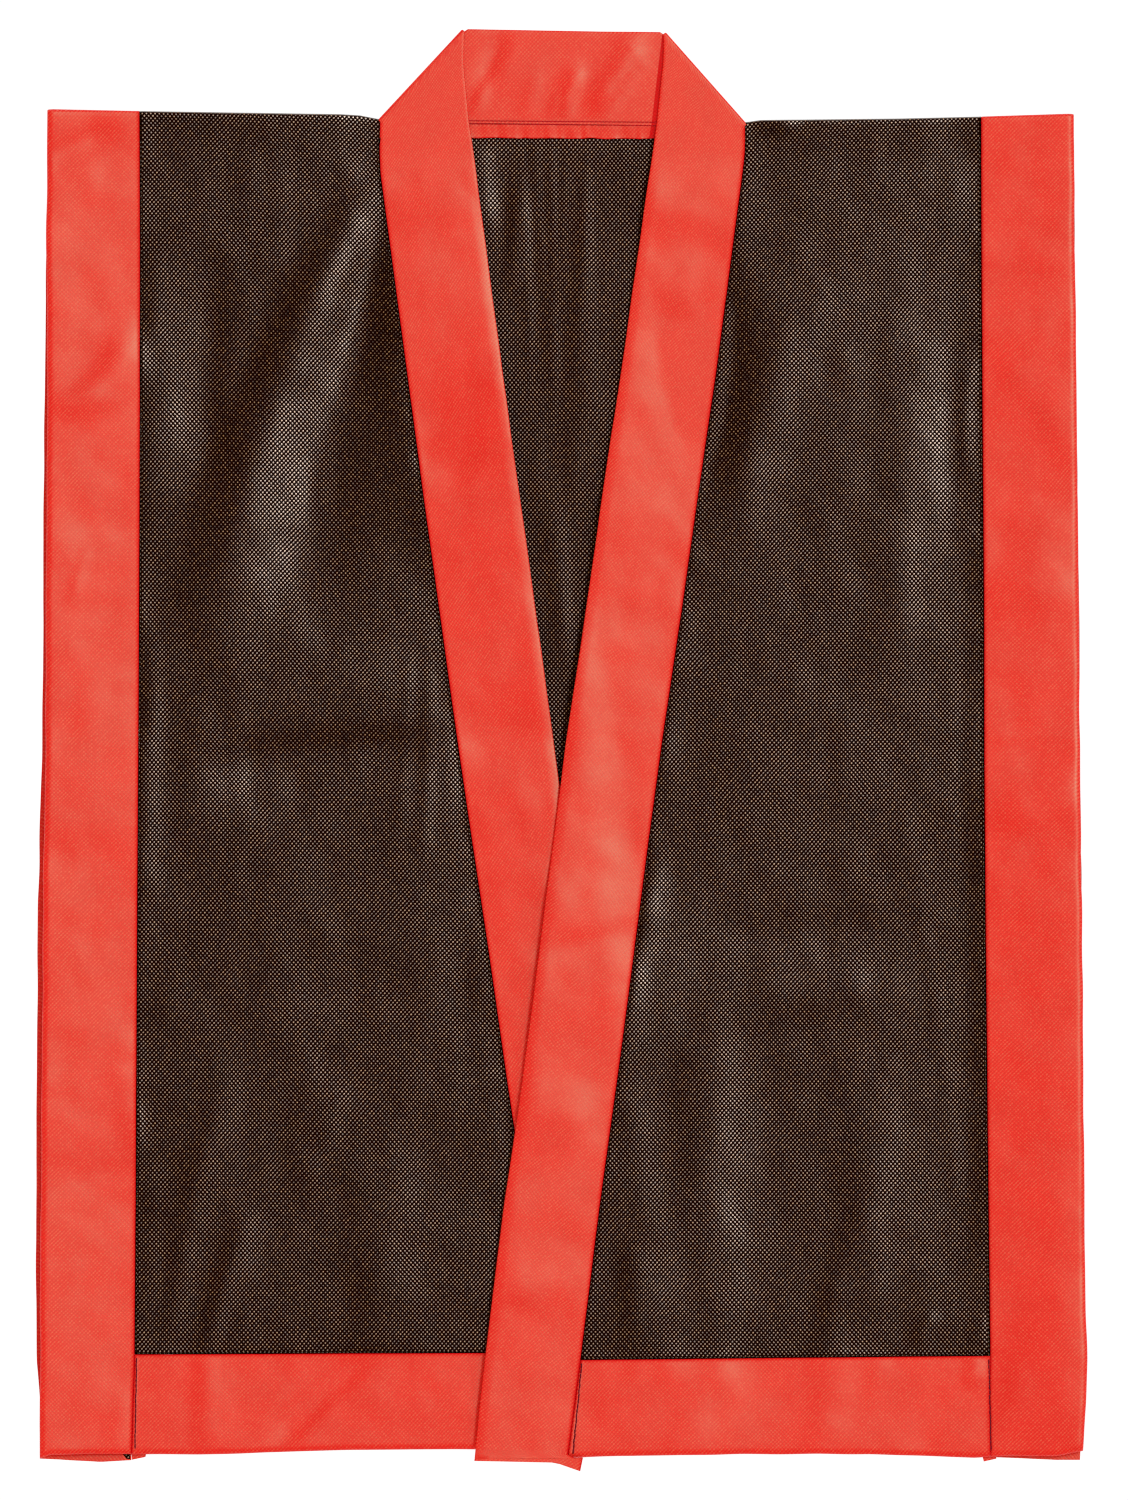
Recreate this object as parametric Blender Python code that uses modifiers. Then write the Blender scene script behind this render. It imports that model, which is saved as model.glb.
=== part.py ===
"""A sleeveless open-fronted uchikake in thin black cloth with wide red borders, laid flat on a surface.

Metres, +Z up, the neck towards +Y. The fronts face up and the back lies on z = 0.
"Left" and "right" are as seen from above with the neck at the top, so the wearer's sides are the other
way round. The origin is at the middle of the object's bounding box, on the surface it lies on.

Every piece is a grid of points on its outer face, given a wall by a Solidify modifier that grows
inwards. The outer face of the back layer is its underside, that of the front layer is its upper side,
and a piece that goes over a shoulder runs round the fold from one to the other.
"""

import bpy
import numpy as np

MM = 0.001

# Cloth
WALL = 1.1  # one layer of cloth
COLLAR_WALL = 1.7  # the collar strip, folded lengthwise, with its hidden layers in one
LAYER_GAP = 0.3  # between cloth that lies on cloth
SEAM_GAP = 0.3  # between pieces that are sewn edge to edge

# Heights of the layers
FRONT_FLOOR = WALL + LAYER_GAP  # underside of the front layer where it lies on the back
LAP_RISE = COLLAR_WALL + LAYER_GAP  # how far the upper front rises to lie on the lower collar

# Folds over an edge
FOLD_STEPS = 6  # facets round a fold
FOLD_LEG = 1.2  # flat stretch of the lower layer that belongs to the fold

# Sections across the garment: height up it, then where each long edge lies
BODY_COLUMNS = ("y", "outer_left", "under_left", "seam_left", "seam_right", "under_right", "outer_right")
BODY_SECTIONS = (
    (368.0, -295.4, -295.4, -242.6, 241.3, 294.7, 294.7),
    (287.5, -296.0, -296.1, -242.3, 241.6, 295.3, 295.3),
    (195.5, -295.4, -297.3, -242.4, 242.2, 296.4, 296.4),
    (86.3, -296.2, -298.1, -242.8, 243.0, 297.7, 297.7),
    (-5.7, -296.8, -298.7, -243.3, 243.2, 298.0, 298.0),
    (-86.2, -298.0, -301.0, -243.9, 243.8, 299.2, 299.2),
    (-258.7, -299.2, -302.2, -244.8, 245.6, 300.7, 300.7),
    (-350.7, -299.7, -301.8, -245.5, 246.7, 301.7, 302.2),
    (-373.7, -300.0, -300.1, -246.3, 246.2, 300.6, 301.6),
    (-408.0, -299.6, -299.7, -247.3, 246.9, 298.5, 300.0),
)

# Sections across the two fronts of the collar, which cross below the middle
COLLAR_COLUMNS = ("y", "left_seam", "left_free", "right_free", "right_seam")
COLLAR_SECTIONS = (
    (414.0, -105.6, -57.1, 60.1, 107.0),
    (390.0, -105.6, -55.9, 57.7, 107.0),
    (362.0, -105.5, -53.3, 54.9, 107.0),
    (330.7, -103.8, -48.6, 50.7, 103.9),
    (218.5, -88.8, -34.1, 34.3, 89.1),
    (143.8, -78.9, -23.3, 23.4, 78.1),
    (75.0, -69.3, -14.1, 13.2, 68.3),
    (5.8, -59.8, -4.3, 3.0, 57.9),
    (-51.7, -51.3, 3.3, -4.3, 50.1),
    (-115.0, -41.8, 12.5, -12.7, 41.8),
    (-190.0, -31.1, 23.4, -22.6, 31.9),
    (-259.0, -20.8, 33.4, -32.5, 22.3),
    (-350.0, -6.7, 46.6, -44.1, 10.9),
    (-408.0, 2.1, 55.0, -50.0, 3.2),
)

# Lines across the garment: distance from its middle, then height
SHOULDER_LINE = (
    (-296.0, 368.6),
    (-242.8, 367.5),
    (-173.2, 366.4),
    (-127.0, 365.7),
    (-115.7, 365.0),
    (-105.5, 363.0),
    (107.0, 361.2),
    (114.3, 362.3),
    (194.7, 363.2),
    (241.3, 364.3),
    (275.3, 365.4),
    (295.0, 366.0),
)
HEM_SEAM = {
    "left": ((-245.6, -347.6), (-6.7, -346.6)),
    "right": ((10.8, -350.7), (246.8, -348.4)),
    "back": ((-245.6, -347.6), (246.8, -348.4)),
}
HEM_EDGE = {
    "left": (
        (-299.6, -407.2),
        (-294.0, -405.0),
        (-207.7, -405.1),
        (-173.8, -404.1),
        (-107.7, -402.3),
        (2.1, -401.8),
    ),
    "right": (
        (3.2, -407.1),
        (33.8, -405.9),
        (68.0, -405.2),
        (177.5, -404.8),
        (237.9, -407.2),
        (258.0, -405.9),
        (285.0, -405.9),
        (300.6, -402.7),
    ),
    "back": (
        (-299.6, -407.4),
        (-288.0, -407.9),
        (-265.0, -409.6),
        (-247.0, -408.6),
        (-240.0, -400.5),
        (240.0, -400.5),
        (247.0, -406.5),
        (265.0, -407.2),
        (285.0, -408.3),
        (300.6, -408.1),
    ),
}

# Collar round the neck
MITRE = {  # the fold beside the neck, from the collar's seam to its free edge
    "left": ((-105.5, 362.5), (-57.1, 414.6)),
    "right": ((106.9, 360.0), (60.1, 412.9)),
}
TURN_START = 330.0  # above this the collar's rows turn towards the mitre fold
COLLAR_TOP = ((-57.1, 414.6), (-23.7, 414.0), (22.3, 413.2), (60.1, 412.9))
ALLOWANCE_ENDS = ((-99.0, 352.3), (100.5, 351.3))  # lower edge of the seam allowance, on the back
BACK_NECK_EDGE = 356.5  # upper edge of the back, hidden by the allowance

# Ends of the collar at the hem
COLLAR_FOOT = {"left": -402.0, "right": -407.4}  # last row that is level across the strip
RIGHT_CORNER = (12.0, -407.7)  # the upper end spreads into a corner below its last level row
RIGHT_END = ((-50.0, -408.6), (-3.6, -409.6), (10.8, -414.6))

# How the front layer rises from the back
NECK_RAMP = (318.0, 344.0)  # rises over the back of the collar between these heights
NECK_REACH = (108.0, 130.0)  # and comes down again between these distances from the middle
BORDER = 54.0  # width of the borders
BORDER_DAMPING = 0.6  # share of a panel's folds that is gone at a border's outer edge
LAP_MARGIN = 10.0  # the upper front stays level this far past the lower collar
LAP_RAMP = 30.0  # and comes down over this distance
SHOULDER_LOFT = 1.0  # the soft fold at the shoulder stands this much above a pressed one
SHOULDER_LOFT_REACH = 16.0
PUFF = 1.2  # air under a panel, away from its seams
PUFF_REACH = 45.0
UNDERLAP_MARGIN = 2.0  # the lower front lies flat this far outside the upper one's edge
UNDERLAP_RAMP = 14.0

# Largest folds: the two ends of each crest, its half width at each end and its height; a trough is negative
FOLD_COLUMNS = ("name", "x0", "y0", "x1", "y1", "width0", "width1", "height")
FOLD_OVERRUN = 0.12  # a fold runs on past its two ends by this share of its length
FOLD_TAPER = 0.42  # and rises from nothing over this share
PANEL_FOLDS = (
    ("shoulder_to_waist", -122.0, 331.0, -188.0, 85.0, 12.0, 21.0, 4.0),
    ("by_left_seam", -231.0, 318.0, -233.0, 132.0, 8.0, 10.0, 1.6),
    ("beside_it", -188.0, 292.0, -190.0, 136.0, 9.0, 9.0, 1.2),
    ("by_left_collar", -96.0, 330.0, -90.0, 110.0, 13.0, 16.0, 2.8),
    ("waist_hollow", -190.0, -30.0, -62.0, 14.0, 16.0, 16.0, -2.0),
    ("belly_hollow", -158.0, -138.0, -86.0, -100.0, 13.0, 11.0, -1.1),
    ("hem_fan_1", -190.0, -188.0, -222.0, -342.0, 8.0, 8.0, 1.7),
    ("hem_fan_2", -170.0, -252.0, -203.0, -350.0, 7.0, 7.0, 1.4),
    ("hem_fan_3", -142.0, -205.0, -174.0, -350.0, 10.0, 8.0, 1.1),
    ("hem_fan_4", -120.0, -240.0, -124.0, -350.0, 13.0, 11.0, 1.0),
    ("right_side_crest", 196.0, 262.0, 198.0, -60.0, 17.0, 10.0, 2.8),
    ("right_chest", 152.0, 272.0, 104.0, 132.0, 14.0, 14.0, 2.0),
    ("by_right_collar", 112.0, 330.0, 100.0, 178.0, 8.0, 8.0, 1.1),
    ("right_hollow", 100.0, -164.0, 188.0, -160.0, 13.0, 15.0, -1.2),
    ("right_hem_1", 78.0, -148.0, 106.0, -350.0, 11.0, 15.0, 2.0),
    ("right_hem_2", 186.0, -180.0, 184.0, -352.0, 16.0, 15.0, 1.7),
)
BORDER_FOLDS = (
    ("left_border_slant", -252.0, 300.0, -302.0, 214.0, 10.0, 10.0, 1.5),
    ("left_border_crinkle", -296.0, 95.0, -243.0, 132.0, 7.0, 6.0, 1.1),
    ("left_border_patch", -298.0, -120.0, -248.0, -74.0, 13.0, 11.0, 1.0),
    ("right_border_slant", 238.0, 213.0, 296.0, 160.0, 10.0, 10.0, 1.1),
    ("right_border_waist", 240.0, 7.0, 300.0, 7.0, 10.0, 10.0, 0.9),
    ("right_collar_slant", 40.0, 272.0, 76.0, 145.0, 8.0, 9.0, 1.6),
    ("left_collar_neck", -100.0, 292.0, -48.0, 318.0, 10.0, 10.0, 1.0),
)

# Grids: columns across, rows along
FRONT_GRID = (24, 54)
SIDE_BAND_GRID = (4, 54)
COLLAR_GRID = (5, 60)
HEM_BAND_GRID = (18, 4)
BACK_GRID = (60, 12)
NECK_COLUMNS = 12

BLACK = (0.020, 0.015, 0.011)
RED = (0.800, 0.070, 0.043)

collection = bpy.data.collections.new("uchikake")


def ease(share):
    """0 to 1 with level ends."""
    share = np.clip(share, 0.0, 1.0)
    return share * share * (3.0 - 2.0 * share)


def mix(first, last, share):
    return first * (1.0 - share) + last * share


def at_section(name, y, columns, sections):
    """The named edge's place across the garment at the heights y."""
    table = np.array(sections)[::-1]
    return np.interp(y, table[:, 0], table[:, columns.index(name)])


def body_edge(name, y):
    return at_section(name, y, BODY_COLUMNS, BODY_SECTIONS)


def collar_edge(name, y):
    return at_section(name, y, COLLAR_COLUMNS, COLLAR_SECTIONS)


def along_line(line, x):
    """Height of a line across the garment at the distances x."""
    return np.interp(x, [point[0] for point in line], [point[1] for point in line])


def folds_at(table, x, y):
    """Sum of a table's folds: each is a bell across its crest that fades out towards both ends."""
    total = np.zeros_like(x)
    for _, x0, y0, x1, y1, width0, width1, height in table:
        length = np.hypot(x1 - x0, y1 - y0)
        along = ((x - x0) * (x1 - x0) + (y - y0) * (y1 - y0)) / length**2
        across = ((y - y0) * (x1 - x0) - (x - x0) * (y1 - y0)) / length
        width = mix(width0, width1, np.clip(along, 0.0, 1.0))
        from_end = np.minimum(along, 1.0 - along) + FOLD_OVERRUN
        total += height * ease(from_end / FOLD_TAPER) * np.exp(-((across / width) ** 2))
    return total


def panel_shape(side, x, y):
    """Puff and folds of a front panel. A border takes the height at its seam, and it dies away across it."""
    collar_seam = collar_edge(f"{side}_seam", y)
    side_seam = body_edge(f"seam_{side}", y)
    hem_seam = along_line(HEM_SEAM[side], x)
    inner_x = np.clip(x, np.minimum(side_seam, collar_seam), np.maximum(side_seam, collar_seam))
    inner_y = np.maximum(y, hem_seam)
    air = np.minimum(np.abs(inner_x - side_seam), np.abs(inner_x - collar_seam))
    air = PUFF * ease(np.minimum(air, inner_y - hem_seam) / PUFF_REACH)
    outside = np.hypot(x - inner_x, y - inner_y)
    return (air + folds_at(PANEL_FOLDS, inner_x, inner_y)) * (1.0 - BORDER_DAMPING * ease(outside / BORDER))


def rise(side, x, y):
    """How far the front layer on one side stands above where it would lie flat on the back."""
    neck = ease((y - NECK_RAMP[0]) / (NECK_RAMP[1] - NECK_RAMP[0]))
    neck = neck * ease((NECK_REACH[1] - np.abs(x)) / (NECK_REACH[1] - NECK_REACH[0]))
    loft = SHOULDER_LOFT * np.exp(-(((along_line(SHOULDER_LINE, x) - y) / SHOULDER_LOFT_REACH) ** 2))
    base = mix(loft, LAP_RISE, neck)
    shape = np.maximum(panel_shape(side, x, y) + folds_at(BORDER_FOLDS, x, y), 0.0) * (1.0 - neck)
    if side == "left":
        under = collar_edge("right_free", y) - x - UNDERLAP_MARGIN
        return base + shape * ease(under / UNDERLAP_RAMP)
    beyond = x - collar_edge("left_free", y) - LAP_MARGIN
    return np.maximum(base, LAP_RISE * (1.0 - ease(beyond / LAP_RAMP))) + shape


def front_top(side, x, y, wall):
    """Upper face of the front layer."""
    return FRONT_FLOOR + rise(side, x, y) + wall


def shoulder_radius(side, x):
    """Radius of the fold over the shoulder, whose two layers are the front's top and the back's underside."""
    return front_top(side, x, along_line(SHOULDER_LINE, x), WALL) / 2.0


def between(left, right, low, high, grid_size):
    """x and y of a grid between two long edges, given by height, and two lines across them."""
    columns, rows = grid_size
    across = np.linspace(0.0, 1.0, columns + 1)
    up = np.linspace(0.0, 1.0, rows + 1)[:, None]

    def where_columns_cross(line):
        middle = line(np.zeros(1))
        return line(mix(left(middle), right(middle), across))

    y = mix(where_columns_cross(low), where_columns_cross(high), up)
    return mix(left(y), right(y), across), y


def at_height(x, y, z):
    return np.stack([x, y, np.broadcast_to(z, x.shape)], axis=-1)


def over_fold(row, outward, floor):
    """Rows that carry the upper face's last row round a fold and back under it, down to the floor.

    Each point turns half a circle, whose height is what lies between the upper face and the floor.
    """
    radius = (row[:, 2] - floor) / 2.0
    rows = []
    for step in range(1, FOLD_STEPS + 1):
        angle = np.pi * step / FOLD_STEPS
        point = row.copy()
        point[:, :2] += outward * (radius * np.sin(angle))[:, None]
        point[:, 2] = floor + radius * (1.0 + np.cos(angle))
        rows.append(point)
    leg = rows[-1].copy()
    leg[:, :2] -= outward * FOLD_LEG
    rows.append(leg)
    return np.array(rows)


def cloth_material(name, colour, roughness):
    material = bpy.data.materials.new(name)
    material.use_nodes = True
    shader = material.node_tree.nodes["Principled BSDF"]
    shader.inputs["Base Color"].default_value = (*colour, 1.0)
    shader.inputs["Roughness"].default_value = roughness
    shader.inputs["Metallic"].default_value = 0.0
    material.diffuse_color = (*colour, 1.0)
    return material


def cloth(name, grid, wall, material, flip=False):
    """One piece of cloth from rows of points on its outer face, in millimetres, with its wall grown inwards.

    The outer face looks up where a row runs towards +X and the rows follow one another towards +Y.
    flip turns it over, for a grid that runs the other way or whose outer face is its underside.
    """
    rows, columns = grid.shape[:2]
    index = np.arange(rows * columns).reshape(rows, columns)
    quads = np.stack([index[:-1, :-1], index[:-1, 1:], index[1:, 1:], index[1:, :-1]], axis=-1).reshape(-1, 4)
    if flip:
        quads = quads[:, ::-1]
    mesh = bpy.data.meshes.new(name)
    mesh.from_pydata((grid.reshape(-1, 3) * MM).tolist(), [], quads.tolist())
    mesh.materials.append(material)
    mesh.update()
    piece = bpy.data.objects.new(name, mesh)
    collection.objects.link(piece)
    solidify = piece.modifiers.new("wall", "SOLIDIFY")
    solidify.thickness = wall * MM
    solidify.offset = -1.0
    solidify.use_even_offset = True
    return piece


def panel_edges(side):
    """Long edges of a front panel, and of the hem band below it, as functions of height."""
    side_seam = lambda y: body_edge(f"seam_{side}", y)
    collar_seam = lambda y: collar_edge(f"{side}_seam", y)
    left, right = (side_seam, collar_seam) if side == "left" else (collar_seam, side_seam)
    return lambda y: left(y) + SEAM_GAP / 2.0, lambda y: right(y) - SEAM_GAP / 2.0


def back_edges():
    return (
        lambda y: body_edge("seam_left", y) + SEAM_GAP / 2.0,
        lambda y: body_edge("seam_right", y) - SEAM_GAP / 2.0,
    )


def above_seam(side):
    return lambda x: along_line(HEM_SEAM[side], x) + SEAM_GAP / 2.0


def below_seam(side):
    return lambda x: along_line(HEM_SEAM[side], x) - SEAM_GAP / 2.0


def shoulder_end(side):
    """The line where the front layer starts to turn down into the shoulder fold."""
    return lambda x: along_line(SHOULDER_LINE, x) - shoulder_radius(side, x)


def make_front(side, material):
    x, y = between(*panel_edges(side), above_seam(side), shoulder_end(side), FRONT_GRID)
    front = at_height(x, y, front_top(side, x, y, WALL))
    fold = over_fold(front[-1], np.array([0.0, 1.0]), 0.0)
    cloth(f"body_front_{side}", np.concatenate([front, fold]), WALL, material)


def back_top(x):
    """Upper edge of the back: just short of the legs of the shoulder folds, and lower across the neck."""
    radius = np.where(x < 0.0, shoulder_radius("left", x), shoulder_radius("right", x))
    top = along_line(SHOULDER_LINE, x) - radius - FOLD_LEG - SEAM_GAP
    at_neck = (x > MITRE["left"][0][0]) & (x < MITRE["right"][0][0])
    return np.where(at_neck, BACK_NECK_EDGE, top)


def make_back(material):
    x, y = between(*back_edges(), above_seam("back"), back_top, BACK_GRID)
    cloth("body_back", at_height(x, y, 0.0), WALL, material, flip=True)


def make_back_hem(material):
    edge = lambda x: along_line(HEM_EDGE["back"], np.clip(x, -240.0, 240.0))
    x, y = between(*back_edges(), edge, below_seam("back"), HEM_BAND_GRID)
    cloth("hem_band_back", at_height(x, y, 0.0), WALL, material, flip=True)


def make_side_band(side, material):
    """One long strip over the shoulder: up the front, round the fold and down the back."""
    seam = lambda y: body_edge(f"seam_{side}", y)
    outer = lambda y: body_edge(f"outer_{side}", y)
    under = lambda y: body_edge(f"under_{side}", y)
    if side == "left":
        front_edges = (outer, lambda y: seam(y) - SEAM_GAP / 2.0)
        back_left, back_right = under, front_edges[1]
    else:
        front_edges = (lambda y: seam(y) + SEAM_GAP / 2.0, outer)
        back_left, back_right = front_edges[0], under
    edge = lambda x: along_line(HEM_EDGE[side], x)
    x, y = between(*front_edges, edge, shoulder_end(side), SIDE_BAND_GRID)
    front = at_height(x, y, front_top(side, x, y, WALL))
    fold = over_fold(front[-1], np.array([0.0, 1.0]), 0.0)[:-1]
    back_edge = lambda x: along_line(HEM_EDGE["back"], x)
    x, y = between(back_left, back_right, back_edge, lambda x: fold[-1][:, 1], SIDE_BAND_GRID)
    back = at_height(x, y, 0.0)[::-1][1:]
    cloth(f"side_band_{side}", np.concatenate([front, fold, back]), WALL, material)


def make_front_hem(side, material):
    edge = lambda x: along_line(HEM_EDGE[side], x)
    x, y = between(*panel_edges(side), edge, below_seam(side), HEM_BAND_GRID)
    cloth(f"hem_band_front_{side}", at_height(x, y, front_top(side, x, y, WALL)), WALL, material)


def mitre_line(side, inset):
    """The fold beside the neck, moved inwards: a start, a direction, a length and the way out of it."""
    start, end = (np.array(point) for point in MITRE[side])
    length = np.linalg.norm(end - start)
    direction = (end - start) / length
    outward = np.array([-direction[1], direction[0]]) * (1.0 if side == "left" else -1.0)
    return start - outward * inset, direction, length, outward


def make_collar_front(side, material):
    """One front of the collar, from its end at the hem to the mitre fold beside the neck."""
    columns, rows = COLLAR_GRID
    start, direction, length, outward = mitre_line(side, (LAP_RISE + COLLAR_WALL) / 2.0)
    share = np.linspace(0.0, 1.0, columns + 1)
    top = start + direction * (length * share)[:, None]
    up = np.linspace(0.0, 1.0, rows + 1)[:, None]
    y = mix(COLLAR_FOOT[side], top[:, 1], up)
    x = mix(collar_edge(f"{side}_seam", y), collar_edge(f"{side}_free", y), share)
    x = mix(x, top[:, 0], ease((y - TURN_START) / (top[:, 1] - TURN_START)))
    if side == "right":
        corner_x = mix(RIGHT_CORNER[0], x[0, -1], share)
        corner_y = mix(RIGHT_CORNER[1], y[0, -1], share)
        end_x = mix(RIGHT_END[-1][0], RIGHT_END[0][0], share)
        x = np.concatenate([[end_x, corner_x], x])
        y = np.concatenate([[along_line(RIGHT_END, end_x), corner_y], y])
    front = at_height(x, y, front_top(side, x, y, COLLAR_WALL))
    fold = over_fold(front[-1], outward, FRONT_FLOOR)
    piece = np.concatenate([front, fold])
    cloth(f"collar_front_{side}", piece, COLLAR_WALL, material, flip=side == "right")


def make_collar_back(material):
    """The collar across the back of the neck, between the two mitre folds, with its allowance on the back."""
    inset = (LAP_RISE + COLLAR_WALL) / 2.0 + FOLD_LEG + SEAM_GAP
    share = np.linspace(0.0, 1.0, COLLAR_GRID[0] + 1)[:, None]
    ends = []
    for side, allowance in zip(("left", "right"), ALLOWANCE_ENDS):
        start, direction, length, outward = mitre_line(side, inset)
        reach = length + inset * outward[1] / direction[1]  # as far as the collar's top edge
        ends.append(np.concatenate([[allowance], start + direction * reach * share]))
    across = np.linspace(0.0, 1.0, NECK_COLUMNS + 1)[:, None, None]
    points = mix(ends[0], ends[1], across)
    points[:, -1, 1] = along_line(COLLAR_TOP, points[:, -1, 0])
    cloth("collar_back", at_height(points[..., 0], points[..., 1], FRONT_FLOOR), COLLAR_WALL, material)


def centre_on_origin():
    """Moves every piece so that the whole lies evenly round the origin."""
    points = np.concatenate(
        [[vertex.co[:] for vertex in piece.data.vertices] for piece in collection.objects]
    )
    middle = (points.min(axis=0) + points.max(axis=0)) / 2.0
    for piece in collection.objects:
        for vertex in piece.data.vertices:
            vertex.co.x -= middle[0]
            vertex.co.y -= middle[1]


def main():
    for old in list(bpy.data.objects):
        bpy.data.objects.remove(old)
    bpy.context.scene.collection.children.link(collection)
    black = cloth_material("black_nonwoven", BLACK, 0.5)
    red = cloth_material("red_nonwoven", RED, 0.55)
    make_back(black)
    make_back_hem(red)
    for side in ("left", "right"):
        make_side_band(side, red)
        make_front(side, black)
        make_front_hem(side, red)
        make_collar_front(side, red)
    make_collar_back(red)
    centre_on_origin()


main()
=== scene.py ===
# Uchikake vest in thin black cloth with wide red borders, laid flat and seen from straight above.
# "Left" and "right" are as seen from above, with the neck at the top. Tables are in millimetres.
import math
import bpy
import numpy as np
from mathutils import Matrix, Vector


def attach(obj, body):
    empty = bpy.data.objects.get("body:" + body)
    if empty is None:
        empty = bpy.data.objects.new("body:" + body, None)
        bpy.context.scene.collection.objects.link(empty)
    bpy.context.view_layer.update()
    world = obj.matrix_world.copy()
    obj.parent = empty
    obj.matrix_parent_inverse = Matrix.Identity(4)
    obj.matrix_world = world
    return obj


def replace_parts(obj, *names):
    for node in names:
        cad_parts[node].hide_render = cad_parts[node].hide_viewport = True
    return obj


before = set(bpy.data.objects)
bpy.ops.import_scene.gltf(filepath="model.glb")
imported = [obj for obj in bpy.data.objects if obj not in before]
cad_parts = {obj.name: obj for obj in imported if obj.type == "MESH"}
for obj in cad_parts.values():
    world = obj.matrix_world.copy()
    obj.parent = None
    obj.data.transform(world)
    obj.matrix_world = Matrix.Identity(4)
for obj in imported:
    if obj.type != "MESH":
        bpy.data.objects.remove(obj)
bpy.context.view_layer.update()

mm = 0.001

# measures shared by several pieces

cloth = {
    "wall": 0.32,  # one layer of the real cloth
    "layer": 1.1,  # room that a layer takes in the frame
    "gap": 0.3,
    "seamGap": 0.04,
    "lapRise": 2.0,  # one front lies this much higher where it laps over the other
    "seamDip": 0.35,  # the cloth turns down this far into a seam
    "seamTurn": 0.9,  # over this width
    "step": 2.5,  # distance between grid lines
    "linesBySeam": (0.0, 0.4, 0.85, 1.4, 2.0, 2.6, 3.2, 4.2),  # where they lie beside a seam
    "sharpAngle": 50.0,  # degrees between faces from which an edge is sharp
    "noSeam": 50.0,  # distance given where no seam is near
}
cloth["frontFloor"] = cloth["layer"] + cloth["gap"]
halfSeam = cloth["seamGap"] / 2.0

# height up the garment, then where each long edge lies across it
bodyColumns = ("y", "outerLeft", "underLeft", "seamLeft", "seamRight", "underRight", "outerRight")
bodySections = np.array((
    (-408, -299.6, -299.7, -247.3, 246.9, 298.5, 300),
    (-373.7, -300, -300.1, -246.3, 246.2, 300.6, 301.6),
    (-350.7, -299.7, -301.8, -245.5, 246.7, 301.7, 302.2),
    (-258.7, -299.2, -302.2, -244.8, 245.6, 300.7, 300.7),
    (-86.2, -298, -301, -243.9, 243.8, 299.2, 299.2),
    (-5.7, -296.8, -298.7, -243.3, 243.2, 298, 298),
    (86.3, -296.2, -298.1, -242.8, 243, 297.7, 297.7),
    (195.5, -295.4, -297.3, -242.4, 242.2, 296.4, 296.4),
    (287.5, -296, -296.1, -242.3, 241.6, 295.3, 295.3),
    (368, -295.4, -295.4, -242.6, 241.3, 294.7, 294.7),
))
collarColumns = ("y", "leftSeam", "leftFree", "rightFree", "rightSeam")
collarSections = np.array((
    (-408, 2.1, 55, -50, 3.2),
    (-350, -6.7, 46.6, -44.1, 10.9),
    (-259, -20.8, 33.4, -32.5, 22.3),
    (-190, -31.1, 23.4, -22.6, 31.9),
    (-115, -41.8, 12.5, -12.7, 41.8),
    (-51.7, -51.3, 3.3, -4.3, 50.1),
    (5.8, -59.8, -4.3, 3, 57.9),
    (75, -69.3, -14.1, 13.2, 68.3),
    (143.8, -78.9, -23.3, 23.4, 78.1),
    (218.5, -88.8, -34.1, 34.3, 89.1),
    (330.7, -103.8, -48.6, 50.7, 103.9),
    (362, -105.5, -53.3, 54.9, 107),
    (390, -105.6, -55.9, 57.7, 107),
    (414, -105.6, -57.1, 60.1, 107),
))
# distance from the middle, then height
shoulderLine = np.array((
    (-296.0, 368.6), (-242.8, 367.5), (-173.2, 366.4), (-127.0, 365.7), (-115.7, 365.0), (-105.5, 363.0),
    (107.0, 361.2), (114.3, 362.3), (194.7, 363.2), (241.3, 364.3), (275.3, 365.4), (295.0, 366.0),
))
hemSeam = {
    "left": np.array(((-245.6, -347.6), (-6.7, -346.6))),
    "right": np.array(((10.8, -350.7), (246.8, -348.4))),
    "back": np.array(((-245.6, -347.6), (246.8, -348.4))),
}
hemEdge = {
    "left": np.array((
        (-299.6, -407.2), (-294.0, -405.0), (-207.7, -405.1), (-173.8, -404.1), (-107.7, -402.3), (2.1, -401.8),
    )),
    "right": np.array((
        (3.2, -407.1), (33.8, -405.9), (68.0, -405.2), (177.5, -404.8), (237.9, -407.2), (258.0, -405.9),
        (285.0, -405.9), (300.6, -402.7),
    )),
    "back": np.array((
        (-299.6, -407.4), (-288.0, -407.9), (-265.0, -409.6), (-247.0, -408.6), (-240.0, -400.5),
        (240.0, -400.5), (247.0, -406.5), (265.0, -407.2), (285.0, -408.3), (300.6, -408.1),
    )),
}


def ease(share):
    # 0 to 1 with level ends
    share = np.clip(share, 0.0, 1.0)
    return share * share * (3.0 - 2.0 * share)


def mix(first, last, share):
    # so far along the straight way from first to last
    return first * (1.0 - share) + last * share


def bodyEdge(name, y):
    # x of a long edge at a height, straight between the rows of its table
    return np.interp(y, bodySections[:, 0], bodySections[:, bodyColumns.index(name)])


def collarEdge(name, y):
    # the same for the collar's edges
    return np.interp(y, collarSections[:, 0], collarSections[:, collarColumns.index(name)])


def alongLine(line, x):
    # y of a line over x, straight between its points
    return np.interp(x, line[:, 0], line[:, 1])


# the lie of the cloth

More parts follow.
